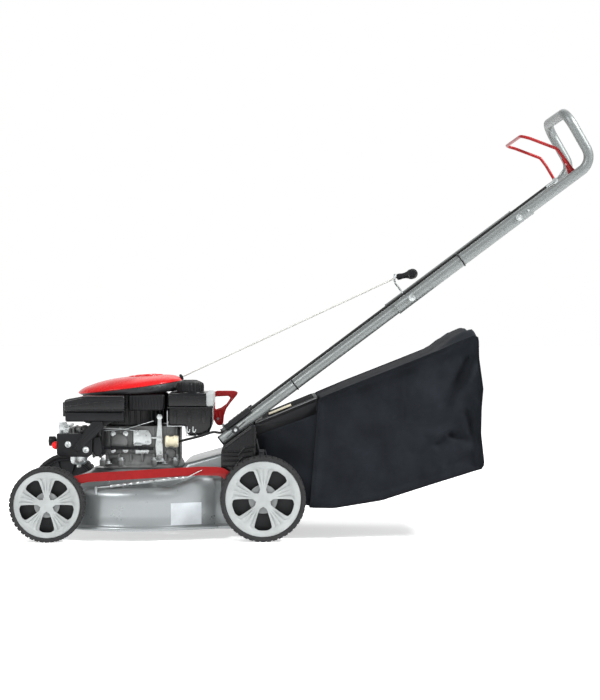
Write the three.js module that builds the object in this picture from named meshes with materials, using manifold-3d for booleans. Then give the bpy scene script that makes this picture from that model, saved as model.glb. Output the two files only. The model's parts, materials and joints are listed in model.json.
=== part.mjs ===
// Push lawn mower with a petrol engine, a folding handle and a rear grass bag.
// Millimetres, +Z up, +X to the rear, -Y is the mower's left side, the ground is z = 0.
// The mower is laid out with x = 0 at the rear wheels' centre, and moved at the end to centre its box.
import * as THREE from "three";
import { mergeVertices } from "three/addons/utils/BufferGeometryUtils.js";
import Module from "manifold-3d";

const wasm = await Module();
wasm.setup();

// Driving dimensions
const GAP = 0.4; // between pieces that touch
const REAR_R = 100; // wheel radii
const FRONT_R = 87.5;
const WHEELBASE = 502;
const TRACK = 235; // outer face of a wheel
const WHEEL_WIDTH = 45;
const CRANK = new THREE.Vector2(54.5, 25); // from an axle's pivot to its wheels' centre
const PIN = new THREE.Vector2(-8, 55); // from an axle's pivot to the link bar's pin
const REAR_WHEEL = new THREE.Vector2(0, REAR_R);
const FRONT_WHEEL = new THREE.Vector2(-WHEELBASE, FRONT_R);
const REAR_PIVOT = REAR_WHEEL.clone().sub(CRANK);
const FRONT_PIVOT = FRONT_WHEEL.clone().sub(CRANK);
const AXLE_R = 6;
const ARM_Y = [170, 176]; // the cranks' plates
const BAR_Y = [179, 183]; // the link bar, on the left side

const BLADE_X = -300; // the blade's axis
const CHAMBER_R = 215;
const DECK_SHEET = 2;
const DECK_REAR = -64;
const DECK_HALF = 160; // half width between the rear wheels
const DECK_TOP = 160;
const HUMP_HALF = 128;

const BRACKET_Y = [160.5, 168];
const HANDLE_PIVOT = new THREE.Vector2(-65, 257);
const HANDLE_SLOPE = Math.atan2(550, 733.5);
const HANDLE_Y = 146; // half distance between the handle's tubes
const TUBE_R = 12;
const TUBE_WALL = 1.4;
const SLEEVE_R = 14.6;
const SLEEVE_WALL = 1.6;
const LOOP_BEND = 40;
const LOOP_TOP = new THREE.Vector2(718, 1010);
const LOOP_ELBOW = new THREE.Vector2(785.3, 893.3);

const BODY_CENTRE_X = 97.06; // the middle of the object's box, from the rear wheels' centre

const LOOKS = {
  silver: [0x9fa3a6, 0.32, 0.75],
  black: [0x16171a, 0.55, 0],
  rubber: [0x1b1b1c, 0.85, 0],
  grey: [0xa6a8aa, 0.4, 0.2],
  darkGrey: [0x3a3c40, 0.6, 0],
  red: [0xc01818, 0.35, 0],
  zinc: [0xb9bcbf, 0.35, 0.9],
  aluminium: [0x8d8f92, 0.5, 0.8],
  cream: [0xd9d2ba, 0.5, 0],
  steel: [0x77797d, 0.4, 0.95],
  fabric: [0x14161f, 0.95, 0],
  rope: [0xc9c9c4, 0.8, 0],
};

const mower = new THREE.Group();
mower.position.x = -BODY_CENTRE_X;

function add(name, geometry, look) {
  const [color, roughness, metalness] = LOOKS[look];
  const mesh = new THREE.Mesh(geometry, new THREE.MeshStandardMaterial({ color, roughness, metalness }));
  mesh.name = name;
  mower.add(mesh);
}

// ---- Solids ----

// A geometry as a manifold solid whose faces point out.
function solid(geometry) {
  const bare = geometry.clone();
  bare.deleteAttribute("normal");
  bare.deleteAttribute("uv");
  const merged = mergeVertices(bare, 1e-4);
  const build = (triVerts) =>
    new wasm.Manifold(
      new wasm.Mesh({
        numProp: 3,
        vertProperties: new Float32Array(merged.attributes.position.array),
        triVerts,
      }),
    );
  const made = build(new Uint32Array(merged.index.array));
  if (made.volume() > 0) return made;
  return build(new Uint32Array(merged.index.array).reverse());
}

function geometryOf(manifold) {
  const mesh = manifold.getMesh();
  const geometry = new THREE.BufferGeometry();
  geometry.setAttribute("position", new THREE.BufferAttribute(mesh.vertProperties, 3));
  geometry.setIndex(new THREE.BufferAttribute(mesh.triVerts, 1));
  geometry.computeVertexNormals();
  return geometry;
}

function join(...pieces) {
  return geometryOf(pieces.map(solid).reduce((whole, piece) => whole.add(piece)));
}

function cut(piece, ...tools) {
  return geometryOf(tools.map(solid).reduce((whole, tool) => whole.subtract(tool), solid(piece)));
}

function box(x0, x1, y0, y1, z0, z1) {
  const geometry = new THREE.BoxGeometry(x1 - x0, y1 - y0, z1 - z0);
  return geometry.translate((x0 + x1) / 2, (y0 + y1) / 2, (z0 + z1) / 2);
}

// A cylinder along Y, at x and z, from y0 to y1.
function rodY(x, z, r, y0, y1, sides = 16) {
  return new THREE.CylinderGeometry(r, r, Math.abs(y1 - y0), sides).translate(x, (y0 + y1) / 2, z);
}

// A cylinder along Z, at x and y, from z0 to z1.
function rodZ(x, y, r, z0, z1, sides = 20) {
  return new THREE.CylinderGeometry(r, r, z1 - z0, sides).rotateX(Math.PI / 2).translate(x, y, (z0 + z1) / 2);
}

// A solid turned round the Y axis from a closed outline of [radius, y] points.
function turned(outline, sides) {
  const points = [...outline, outline[0]].map(([r, y]) => new THREE.Vector2(r, y));
  return new THREE.LatheGeometry(points, sides);
}

// A solid turned round an upright axis at x, y; its outline of [radius, z] starts and ends on the axis.
function turnedZ(x, y, outline, sides) {
  const points = outline.map(([r, z]) => new THREE.Vector2(r, z));
  return new THREE.LatheGeometry(points, sides).rotateX(Math.PI / 2).translate(x, y, 0);
}

// A flat outline of [x, z] points, between y0 and y1.
function plate(outline, y0, y1, bevel = 0) {
  const shape = new THREE.Shape(outline.map(([x, z]) => new THREE.Vector2(x, z)));
  const options = {
    depth: y1 - y0 - 2 * bevel,
    bevelEnabled: bevel > 0,
    bevelThickness: bevel,
    bevelSize: bevel,
    bevelOffset: -bevel,
    bevelSegments: 2,
  };
  return new THREE.ExtrudeGeometry(shape, options).rotateX(Math.PI / 2).translate(0, y1 - bevel, 0);
}

// The outline of a bar of the given half width with round ends, between two [x, z] points.
function capsule(a, b, half, steps = 6) {
  const along = Math.atan2(b.y - a.y, b.x - a.x);
  const end = (centre, from) =>
    Array.from({ length: steps + 1 }, (_, i) => {
      const angle = along + from + (Math.PI * i) / steps;
      return [centre.x + half * Math.cos(angle), centre.y + half * Math.sin(angle)];
    });
  return [...end(b, -Math.PI / 2), ...end(a, Math.PI / 2)];
}

// The outline of a strip of the given half width along [x, z] points.
function strip(points, half) {
  const spine = points.map(([x, z]) => new THREE.Vector2(x, z));
  const side = (sign) =>
    spine.map((p, i) => {
      const from = spine[Math.max(i - 1, 0)];
      const to = spine[Math.min(i + 1, spine.length - 1)];
      const along = to.clone().sub(from).normalize();
      return [p.x - sign * half * along.y, p.y + sign * half * along.x];
    });
  return [...side(-1), ...side(1).reverse()];
}

// A path through exactly its own points, for tubes whose straight stretches need no steps.
class Route extends THREE.Curve {
  constructor(points) {
    super();
    this.points = points;
  }
  getPoint(t) {
    return this.points[Math.round(t * (this.points.length - 1))].clone();
  }
  getPointAt(u) {
    return this.getPoint(u);
  }
  getTangentAt(u) {
    const i = Math.round(u * (this.points.length - 1));
    const before = this.points[Math.max(i - 1, 0)];
    const here = this.points[i];
    const after = this.points[Math.min(i + 1, this.points.length - 1)];
    const arriving = here.clone().sub(before).normalize();
    return arriving.add(after.clone().sub(here).normalize()).normalize();
  }
}

// Points with each corner turned into an arc.
function rounded(corners, radius, step = Math.PI / 9) {
  const points = [corners[0]];
  for (let i = 1; i < corners.length - 1; i++) {
    const into = corners[i].clone().sub(corners[i - 1]).normalize();
    const out = corners[i + 1].clone().sub(corners[i]).normalize();
    const turn = into.angleTo(out);
    const reach = radius * Math.tan(turn / 2);
    const start = corners[i].clone().addScaledVector(into, -reach);
    const inward = out.clone().addScaledVector(into, -out.dot(into)).normalize();
    const count = Math.max(2, Math.ceil(turn / step));
    for (let k = 0; k <= count; k++) {
      const angle = (turn * k) / count;
      const p = start.clone().addScaledVector(into, radius * Math.sin(angle));
      points.push(p.addScaledVector(inward, radius * (1 - Math.cos(angle))));
    }
  }
  points.push(corners[corners.length - 1]);
  return points;
}

function circle(radius, sides) {
  return Array.from({ length: sides }, (_, i) => {
    const angle = (2 * Math.PI * i) / sides;
    return new THREE.Vector2(radius * Math.cos(angle), radius * Math.sin(angle));
  });
}

// A round bar or, with a wall, a tube along points.
function tube(points, radius, sides, wall = 0) {
  const section = new THREE.Shape(circle(radius, sides));
  if (wall > 0) section.holes.push(new THREE.Path(circle(radius - wall, sides)));
  return new THREE.ExtrudeGeometry(section, { steps: points.length - 1, extrudePath: new Route(points) });
}

// A closed skin over rings of equally many points, each ring's end capped from its middle.
function loft(rings) {
  const count = rings[0].length;
  const middle = (ring) => ring.reduce((sum, p) => sum.add(p), new THREE.Vector3()).divideScalar(count);
  const vertices = [...rings.flat(), middle(rings[0]), middle(rings[rings.length - 1])];
  const index = [];
  const first = rings.length * count;
  for (let k = 0; k < count; k++) {
    const next = (k + 1) % count;
    for (let r = 0; r < rings.length - 1; r++) {
      const [a, b, c, d] = [r * count + k, r * count + next, (r + 1) * count + next, (r + 1) * count + k];
      index.push(a, b, c, a, c, d);
    }
    index.push(first, next, k);
    index.push(first + 1, first - count + k, first - count + next);
  }
  const geometry = new THREE.BufferGeometry().setFromPoints(vertices);
  geometry.setIndex(index);
  return geometry;
}

// ---- Deck ----

// The deck's plan: a round chamber, sides that run in to the tunnel, and a straight rear wall.
const TUNNEL_CORNER = new THREE.Vector2(-110 - BLADE_X, DECK_HALF);
const TANGENT = TUNNEL_CORNER.angle() + Math.acos(CHAMBER_R / TUNNEL_CORNER.length());
const REAR_CORNER = Math.atan2(DECK_HALF, DECK_REAR - BLADE_X);

function planRadius(angle) {
  if (angle >= TANGENT) return CHAMBER_R;
  const side = CHAMBER_R / Math.cos(angle - TANGENT);
  const flank = DECK_HALF / Math.max(Math.sin(angle), 1e-6);
  return Math.min(Math.max(side, flank), (DECK_REAR - BLADE_X) / Math.cos(angle));
}

const ROUND_STEPS = 9;
const WAIST = TUNNEL_CORNER.angle();
const half = [0, REAR_CORNER * 0.6, REAR_CORNER, WAIST, (WAIST + TANGENT) / 2];
for (let i = 0; i < ROUND_STEPS; i++) half.push(TANGENT + ((Math.PI - TANGENT) * i) / ROUND_STEPS);
const PLAN_ANGLES = [...half, Math.PI, ...half.slice(1).reverse().map((a) => -a)];

// One level of the deck, drawn in by an inset and lifted towards the tunnel.
function deckRing(z, inset, lift = 0) {
  return PLAN_ANGLES.map((angle) => {
    const r = planRadius(Math.abs(angle)) - inset;
    const x = BLADE_X + r * Math.cos(angle);
    return new THREE.Vector3(x, r * Math.sin(angle), z + lift * THREE.MathUtils.smoothstep(x, -230, -140));
  });
}

// The rounded upper levels: height, inset and lift.
const SHOULDER = [
  [104, 0, 22],
  [113, 4, 27],
  [120, 14, 29],
  [126, 36, 28],
  [148, 92, 10],
  [DECK_TOP, 110, 0],
];

const HUMP = [
  [-262, 90],
  [-225, 150],
  [-196, 158],
  [-181, 177],
  [-94, 200],
  [DECK_REAR, 200],
  [DECK_REAR, 90],
];

function deck() {
  const lip = [
    [25, -5],
    [33, -5],
    [34.5, 0],
  ];
  const outer = loft([...lip, ...SHOULDER].map((level) => deckRing(...level)));
  const cavity = [[20, 0, 0], ...SHOULDER];
  const inner = loft(cavity.map(([z, inset, lift]) => deckRing(z - DECK_SHEET, inset + DECK_SHEET, lift)));
  const hump = plate(HUMP, -HUMP_HALF, HUMP_HALF, 12);
  const inside = HUMP.map(([x, z]) => [
    x === DECK_REAR ? x + 20 : x + DECK_SHEET,
    z - DECK_SHEET - (z < 100 ? 4 : 0),
  ]);
  const tunnel = plate(inside, -HUMP_HALF + DECK_SHEET, HUMP_HALF - DECK_SHEET, 10);
  const lug = capsule(FRONT_PIVOT, new THREE.Vector2(-470, 74), 14);
  const lugs = [-1, 1].map((s) => plate(lug, s * 122 - 4, s * 122 + 4));
  const body = join(outer, hump, ...lugs, box(-394, -388, -194, -186, 100, 124));
  const shaftHole = rodZ(BLADE_X, 0, 34, DECK_TOP - 20, DECK_TOP + 20);
  const axleHole = rodY(FRONT_PIVOT.x, FRONT_PIVOT.y, AXLE_R + 0.5, -140, 140);
  add("deck", cut(body, inner, tunnel, shaftHole, axleHole), "silver");
}

// ---- Brackets that hold the handle and the rear axle ----

const BRACKET = [
  [-99, 110],
  [-99, 211],
  [-89, 228],
  [-58, 270],
  [-40, 277],
  [-25, 273],
  [-16, 264],
  [-16, 190],
  [-30, 120],
  [-38, 62],
  [-72, 62],
];

function brackets() {
  for (const [side, s] of [["left", -1], ["right", 1]]) {
    const [y0, y1] = s < 0 ? [-BRACKET_Y[1], -BRACKET_Y[0]] : BRACKET_Y;
    const rib = box(-97, -91, s < 0 ? y0 - 1.6 : y1 - 1, s < 0 ? y0 + 1 : y1 + 1.6, 120, 210);
    const holes = [
      rodY(REAR_PIVOT.x, REAR_PIVOT.y, AXLE_R + 0.5, y0 - 5, y1 + 5),
      rodY(HANDLE_PIVOT.x, HANDLE_PIVOT.y, 4.5, y0 - 5, y1 + 5),
    ];
    add(`bracket_${side}`, cut(join(plate(BRACKET, y0, y1, 1.5), rib), ...holes), "black");
    const [inner, face, head] = [s * 129, s * (BRACKET_Y[1] + GAP), s * 174];
    const bolt = join(
      rodY(HANDLE_PIVOT.x, HANDLE_PIVOT.y, 4, inner, face, 12),
      rodY(HANDLE_PIVOT.x, HANDLE_PIVOT.y, 13, face, head, 20),
      rodY(HANDLE_PIVOT.x, HANDLE_PIVOT.y, 7, s * 127, s * 132, 6),
    );
    add(`pivot_bolt_${side}`, bolt, "steel");
  }
}

// ---- Cutting height ----

// An axle: a rod across the mower, a crank and a stub at each end, and the link bar's pin on the left.
function axle(name, pivot, wheel) {
  const pin = pivot.clone().add(PIN);
  const pieces = [rodY(pivot.x, pivot.y, AXLE_R, -ARM_Y[0] - 2, ARM_Y[0] + 2)];
  for (const s of [-1, 1]) {
    const [y0, y1] = s < 0 ? [-ARM_Y[1], -ARM_Y[0]] : ARM_Y;
    pieces.push(plate(capsule(pivot, wheel, 12), y0, y1));
    pieces.push(rodY(wheel.x, wheel.y, AXLE_R, s * (ARM_Y[0] + 2), s * 227));
  }
  pieces.push(plate(capsule(pivot, pin, 11), -ARM_Y[1], -ARM_Y[0]));
  pieces.push(rodY(pin.x, pin.y, 4, -ARM_Y[0] - 2, -186, 12));
  add(name, join(...pieces), "zinc");
}

const BAR = [
  [-511, 119],
  [-462, 136],
  [-411, 148],
  [-265, 155.5],
  [-150, 162],
  [-116, 163],
  [-90, 154],
];
const SPRING_EYE = [-148, 163];
const SPRING_HOOK = [-391, 121];

function linkBar() {
  const pins = [FRONT_PIVOT, REAR_PIVOT].map((pivot) => pivot.clone().add(PIN));
  const spine = [[pins[0].x, pins[0].y], ...BAR, [pins[1].x, pins[1].y]];
  const [y0, y1] = [-BAR_Y[1], -BAR_Y[0]];
  const eyes = pins.map((pin) => rodY(pin.x, pin.y, 10, y0, y1));
  const holes = pins.map((pin) => rodY(pin.x, pin.y, 4.5, y0 - 2, y1 + 2));
  const eye = rodY(SPRING_EYE[0], SPRING_EYE[1], 3, y0 - 2, y1 + 2, 10);
  add("link_bar", cut(join(plate(strip(spine, 9), y0, y1), ...eyes), ...holes, eye), "red");
}

function heightSpring() {
  const outline = [
    [0, 0],
    [1.6, 0],
    [1.6, 34],
    [5, 36],
    [5, 122],
    [1.6, 126],
    [1.6, 240],
    [0, 240],
  ];
  const points = outline.map(([r, y]) => new THREE.Vector2(r, y));
  const slope = Math.atan2(SPRING_EYE[1] - SPRING_HOOK[1], SPRING_EYE[0] - SPRING_HOOK[0]);
  const spring = new THREE.LatheGeometry(points, 10).rotateZ(-Math.PI / 2).rotateY(-slope);
  add("height_spring", spring.translate(SPRING_HOOK[0] + 1, -189.5, SPRING_HOOK[1] + 5), "zinc");
}

const LEVER_Y = 181;
const GRIP = [
  [-110, 249],
  [-129, 318],
  [-126, 332],
  [-116, 337],
  [-76, 337],
  [-65, 328],
  [-63, 308],
  [-68, 285],
  [-84, 262],
  [-96, 249],
];
const GRIP_WINDOW = [
  [-103, 273],
  [-113, 312],
  [-111, 321],
  [-84, 321],
  [-79, 306],
  [-84, 288],
  [-94, 274],
];

function heightLever() {
  const foot = new THREE.Vector3(REAR_PIVOT.x, LEVER_Y, REAR_PIVOT.y);
  const top = new THREE.Vector3(-102.5, LEVER_Y, 247.5);
  const washer = rodY(REAR_PIVOT.x, REAR_PIVOT.y, 12, ARM_Y[1] + GAP, LEVER_Y + 4);
  add("height_lever", join(tube([foot, top], 4, 10), washer), "zinc");
  const grip = cut(plate(GRIP, LEVER_Y - 6, LEVER_Y + 7, 3), plate(GRIP_WINDOW, LEVER_Y - 10, LEVER_Y + 10));
  add("lever_grip", grip, "red");
}

// ---- Wheels ----

const SPOKES = 5;

// A window between two spokes of equal width, from the inner to the outer radius.
function spokeWindow(middle, inner, outer, spokeHalf) {
  const edge = (r) => Math.PI / SPOKES - Math.asin(spokeHalf / r);
  const arc = (r, from, to, steps) =>
    Array.from({ length: steps + 1 }, (_, i) => {
      const angle = middle + from + ((to - from) * i) / steps;
      return new THREE.Vector2(r * Math.cos(angle), r * Math.sin(angle));
    });
  return [...arc(outer, -edge(outer), edge(outer), 4), ...arc(inner, edge(inner), -edge(inner), 1)];
}

// The spoked cover on a wheel's outer face, with one spoke pointing up.
function hubcap(rim, hub, faceY) {
  const shape = new THREE.Shape(circle(rim, 28));
  for (let i = 0; i < SPOKES; i++) {
    const middle = -Math.PI / 2 + (i * 2 * Math.PI) / SPOKES;
    shape.holes.push(new THREE.Path(spokeWindow(middle, hub, rim * 0.84, rim * 0.1)));
  }
  const disc = new THREE.ExtrudeGeometry(shape, { depth: 5, bevelEnabled: false });
  return disc.rotateX(Math.PI / 2).translate(0, faceY + 5, 0);
}

function wheel(place, s, radius, rim, hub, centre) {
  const w = WHEEL_WIDTH / 2;
  const tyre = [
    [rim, w - 3],
    [rim, -w + 3],
    [radius - 5, -w],
    [radius, -w + 6],
    [radius, w - 6],
    [radius - 5, w],
  ];
  const core = [
    [AXLE_R + 0.5, -w + 7],
    [rim - 1, -w + 7],
    [rim - 1, w - 3],
    [rim - 6, w - 3],
    [rim - 6, -w + 15],
    [17, -w + 15],
    [17, w - 1],
    [AXLE_R + 0.5, w - 1],
  ];
  const turn = s < 0 ? 0 : Math.PI;
  const centreY = s * (TRACK - w);
  const set = (geometry) => geometry.rotateZ(turn).translate(centre.x, centreY, centre.y);
  add(`tyre_${place}`, set(turned(tyre, 28)), "rubber");
  add(`wheel_core_${place}`, set(turned(core, 20)), "black");
  add(`hubcap_${place}`, set(hubcap(rim - 1, hub, -w + 1)), "grey");
}

function wheels() {
  for (const [side, s] of [["left", -1], ["right", 1]]) {
    wheel(`front_${side}`, s, FRONT_R, 77, 29, FRONT_WHEEL);
    wheel(`rear_${side}`, s, REAR_R, 88, 27, REAR_WHEEL);
  }
}

// ---- Engine ----

const SHAFT_R = 12;
const CASE_FRONT = -380;
const CASE_WALL = 5;

// A box with rounded upright edges.
function block(x0, x1, y0, y1, z0, z1, radius) {
  const corners = [
    [x1, y1],
    [x0, y1],
    [x0, y0],
    [x1, y0],
  ];
  const outline = corners.flatMap(([x, y], i) => {
    const [cx, cy] = [x + (x === x1 ? -radius : radius), y + (y === y1 ? -radius : radius)];
    return [0, 1, 2].map((k) => {
      const angle = (i + k / 2) * (Math.PI / 2);
      return new THREE.Vector2(cx + radius * Math.cos(angle), cy + radius * Math.sin(angle));
    });
  });
  const shape = new THREE.Shape(outline);
  return new THREE.ExtrudeGeometry(shape, { depth: z1 - z0, bevelEnabled: false }).translate(0, 0, z0);
}

function engineBlock() {
  const bore = rodZ(BLADE_X, 0, SHAFT_R + 1, 100, 400);
  const base = block(-392, -200, -98, 98, DECK_TOP + GAP, 176, 20);
  add("engine_base", cut(base, bore), "aluminium");
  const upper = block(CASE_FRONT, -200, -78, 78, 176 + GAP, 262, 16);
  const [front, rear, side] = [CASE_FRONT + CASE_WALL, -200 - CASE_WALL, 78 - CASE_WALL];
  const sump = block(front, rear, -side, side, 170, 262 - CASE_WALL, 11);
  add("crankcase", cut(upper, sump, bore), "aluminium");
  const fins = [0, 1, 2, 3, 4].map((i) => box(-460 + i * 16, -455 + i * 16, -56, 44, 184, 258));
  const barrel = box(-462, CASE_FRONT - GAP, -40, 34, 190, 252);
  const head = block(-478, -461, -48, 42, 188, 255, 6);
  add("cylinder", join(barrel, head, ...fins), "aluminium");
  const plug = [
    [0, 0],
    [9, 0],
    [9, 10],
    [6, 12],
    [6, 26],
    [12, 28],
    [12, 44],
    [0, 46],
  ];
  const points = plug.map(([r, y]) => new THREE.Vector2(r, y));
  const spark = new THREE.LatheGeometry(points, 12).rotateZ(Math.PI / 2).translate(-478 - GAP, 0, 221);
  add("spark_plug", spark, "black");
}

function crankTrain() {
  add("crankshaft", join(rodZ(BLADE_X, 0, SHAFT_R, 56, 316), rodZ(BLADE_X, 0, 27, 60, 74)), "steel");
  const ring = cut(rodZ(BLADE_X, 0, 56, 278, 304, 28), rodZ(BLADE_X, 0, SHAFT_R + GAP, 270, 310));
  add("flywheel", ring, "steel");
  const arm = [
    [-205, -14],
    [-198, -26],
    [198, -26],
    [205, -14],
    [205, 14],
    [198, 26],
    [-198, 26],
    [-205, 14],
  ];
  const shape = new THREE.Shape(arm.map(([x, y]) => new THREE.Vector2(x, y)));
  const flat = new THREE.ExtrudeGeometry(shape, { depth: 4, bevelEnabled: false });
  const lifts = [-1, 1].map((s) => box(s * 169 - 29, s * 169 + 29, s * 22 - 3, s * 22 + 3, 2, 16));
  const blade = cut(join(flat, ...lifts), rodZ(0, 0, 9, -5, 10)).rotateZ(0.5).translate(BLADE_X, 0, 51.5);
  add("blade", blade, "steel");
  const bolt = join(rodZ(BLADE_X, 0, 15, 43, 51, 6), rodZ(BLADE_X, 0, 8, 48, 55.6, 12));
  add("blade_bolt", bolt, "zinc");
}

// An oval ring at height z, leaning by tilt over its length.
function oval(cx, halfX, halfY, z, tilt = 0, sides = 24) {
  return Array.from({ length: sides }, (_, i) => {
    const angle = (2 * Math.PI * i) / sides;
    const x = halfX * Math.cos(angle);
    return new THREE.Vector3(cx + x, halfY * Math.sin(angle), z + tilt * x);
  });
}

const COVER_LEVELS = [
  [-323, 127, 112, 343, 0.03],
  [-322, 127, 112, 350, 0.06],
  [-314, 113, 98, 364, 0.075],
  [-300, 84, 72, 374, 0.075],
  [-285, 40, 34, 380, 0.06],
];

function covers() {
  const cup = cut(
    loft([oval(-334, 100, 84, 266), oval(-334, 102, 87, 300), oval(-336, 104, 90, 336, 0.03)]),
    loft([oval(-334, 95, 79, 260), oval(-335, 99, 84, 326)]),
  );
  add("blower_housing", cup, "darkGrey");
  const outer = loft(COVER_LEVELS.map((level) => oval(...level)));
  const inner = loft(COVER_LEVELS.map(([cx, a, b, z, tilt]) => oval(cx, a - 3, b - 3, z - 3, tilt)));
  add("top_cover", cut(outer, inner), "red");
}

const TANK = [
  [-228, 263.5],
  [-185, 263.5],
  [-182, 240],
  [-130, 240],
  [-121, 262],
  [-119, 300],
  [-119, 336],
  [-125, 342],
  [-222, 342],
  [-228, 336],
];
const CAP_AT = [-175, -68];

function fuelSystem() {
  add("fuel_tank", plate(TANK, -112, 60, 10), "black");
  const [x, y] = CAP_AT;
  const dome = [
    [0, 342 + GAP],
    [31, 342 + GAP],
    [34, 346],
    [34, 362],
    [30, 369],
    [16, 373],
    [0, 374],
  ];
  add("fuel_cap", turnedZ(x, y, dome, 20), "black");
  add("air_filter_lid", block(-470, -327, -150, -92, 300 + GAP, 337, 12), "black");
  const duct = plate([[-372, 280], [-340, 280], [-405, 249], [-440, 249]], -140, -100);
  add("air_filter_base", join(block(-468, -329, -148, -94, 276, 300, 12), duct), "black");
  add("carburettor_cover", block(-488, -404, -147, -127, 193, 248, 4), "black");
  const throat = rodY(-440, 222, 17, -126.5, -56.5, 16);
  const bowl = rodZ(-439, -104, 20, 174, 212, 16);
  const nut = rodZ(-439, -104, 6, 167, 176, 6);
  add("carburettor", join(throat, bowl, nut), "zinc");
  const bulb = [
    [0, 0],
    [9.5, 0],
    [9.5, 6],
    [7, 10],
    [0, 12],
  ];
  const points = bulb.map(([r, h]) => new THREE.Vector2(r, h));
  const primer = new THREE.LatheGeometry(points, 14).rotateZ(Math.PI / 2).translate(-488 - GAP, -137, 220);
  add("primer_bulb", primer, "red");
  add("muffler", block(-470, CASE_FRONT - 6, 46, 116, 190, 252, 10), "steel");
}

function engineTrim() {
  add("engine_strap", join(box(-257, -238, -88, -84, 178, 291), box(-257, -238, -97, -84, 178, 182)), "zinc");
  const plateAndFoot = join(box(-311, -268, -84, -80.5, 217, 253), box(-311, -296, -94, -80.5, 217, 220));
  add("governor_plate", plateAndFoot, "zinc");
  const rod = [[-403.5, -100, 212], [-380, -95, 210], [-262, -95, 210]].map((p) => new THREE.Vector3(...p));
  add("control_rod", tube(rounded(rod, 10), 3, 8), "black");
  add("brake_cover", block(-235, -202, -108, -78.5, 210, 241, 8), "cream");
}

// ---- Rear flap ----

const FLAP = [
  [-13, 276],
  [129.6, 334.3],
  [128.6, 322],
  [124.5, 287],
  [-7, 229],
  [-20, 262],
];
const FLAP_HALF = 125;
const FLAP_SHEET = 3;

function rearFlap() {
  const inside = [
    [-30, 266.5],
    [-11, 272.5],
    [150, 338],
    [150, 270],
    [-7, 200],
    [-60, 230],
  ];
  const edge = FLAP_HALF - FLAP_SHEET;
  const hood = cut(plate(FLAP, -FLAP_HALF, FLAP_HALF), plate(inside, -edge, edge));
  add("rear_flap", join(hood, rodY(-14, 268, 4.5, -FLAP_HALF - 6, FLAP_HALF + 6, 12)), "darkGrey");
}

// ---- Handle ----

const UP = new THREE.Vector2(Math.cos(HANDLE_SLOPE), Math.sin(HANDLE_SLOPE));

// A point on a handle tube's centre line at x.
function onTube(x, y, lift = 0) {
  const z = HANDLE_PIVOT.y + (x - HANDLE_PIVOT.x) * Math.tan(HANDLE_SLOPE);
  return new THREE.Vector3(x - lift * UP.y, y, z + lift * UP.x);
}

function handle() {
  for (const [side, s] of [["left", -1], ["right", 1]]) {
    const y = s * HANDLE_Y;
    const lower = tube([onTube(-99.5, y), onTube(372, y)], TUBE_R, 12, TUBE_WALL);
    const pivotHole = rodY(HANDLE_PIVOT.x, HANDLE_PIVOT.y, 4.6, y - 20, y + 20);
    add(`lower_tube_${side}`, cut(lower, pivotHole), "silver");
    const middle = tube([onTube(317, y), onTube(634, y)], SLEEVE_R, 12, SLEEVE_WALL);
    const joint = onTube(628, y);
    add(`middle_tube_${side}`, cut(middle, rodY(joint.x, joint.z, 3, y - 20, y + 20, 10)), "silver");
    const saddle = cut(
      plate(capsule(onTubeFlat(-80, 12), onTubeFlat(-42, 12), 13), s * 149.3 - 10.3, s * 149.3 + 10.3),
      tube([onTube(-140, y), onTube(20, y)], TUBE_R + GAP, 12),
      plate(capsule(onTubeFlat(-120, -20), onTubeFlat(0, -20), 22), y - 30, y + 30),
      rodY(HANDLE_PIVOT.x, HANDLE_PIVOT.y, 14, y - 30, y + 30),
    );
    add(`handle_clamp_${side}`, saddle, "black");
  }
  const near = [onTube(596, -HANDLE_Y), at(LOOP_ELBOW, -HANDLE_Y), at(LOOP_TOP, -HANDLE_Y)];
  const far = [at(LOOP_TOP, HANDLE_Y), at(LOOP_ELBOW, HANDLE_Y), onTube(596, HANDLE_Y)];
  add("top_loop", tube(rounded([...near, ...far], LOOP_BEND, Math.PI / 7), TUBE_R, 10, TUBE_WALL), "silver");
}

function onTubeFlat(x, lift) {
  const p = onTube(x, 0, lift);
  return new THREE.Vector2(p.x, p.z);
}

function at(flat, y) {
  return new THREE.Vector3(flat.x, y, flat.y);
}

const BAIL_PIVOT = new THREE.Vector2(737, 868);
const BAIL_Y = 129;
const BAIL_SIDE = [
  [737, 868],
  [715, 905],
  [700, 925],
  [636, 949],
  [614, 955],
];

function bail() {
  const arm = (y) => BAIL_SIDE.map(([x, z]) => new THREE.Vector3(x, y, z));
  const path = rounded([...arm(-BAIL_Y), ...arm(BAIL_Y).reverse()], 16, Math.PI / 4);
  const eyes = [-1, 1].map((s) => {
    return rodY(BAIL_PIVOT.x, BAIL_PIVOT.y, 8, s * (BAIL_Y - 3), s * (BAIL_Y + 4), 14);
  });
  add("brake_bail", join(tube(path, 3.2, 6), ...eyes), "red");
}

const GUIDE = new THREE.Vector3(330, 96, 622);
const ROPE_EXIT = new THREE.Vector3(-199, 16, 377);

function starter() {
  const ring = [];
  for (let i = 0; i <= 12; i++) {
    const angle = -Math.PI / 2 + (i * Math.PI) / 7.5;
    ring.push(new THREE.Vector3(GUIDE.x, GUIDE.y + 9 * Math.cos(angle), GUIDE.z + 9 * Math.sin(angle)));
  }
  const foot = onTube(356, HANDLE_Y - SLEEVE_R - 3.4);
  const elbow = foot.clone().add(new THREE.Vector3(-8, -6, 20));
  const stem = [foot, elbow, new THREE.Vector3(GUIDE.x + 2, 100, 606)];
  add("rope_guide", tube([...stem, ...ring], 2.6, 8), "zinc");
  const end = GUIDE.clone().add(new THREE.Vector3(2, 0, 1));
  add("starter_rope", tube([ROPE_EXIT, end], 2, 8), "rope");
  const start = new THREE.Vector3(336, GUIDE.y, 624);
  const stop = new THREE.Vector3(364, GUIDE.y, 630);
  const shape = join(tube([start, stop], 8, 12), rodY(373, 632, 12, GUIDE.y - 33, GUIDE.y + 33, 14));
  add("starter_grip", shape, "black");
}

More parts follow.
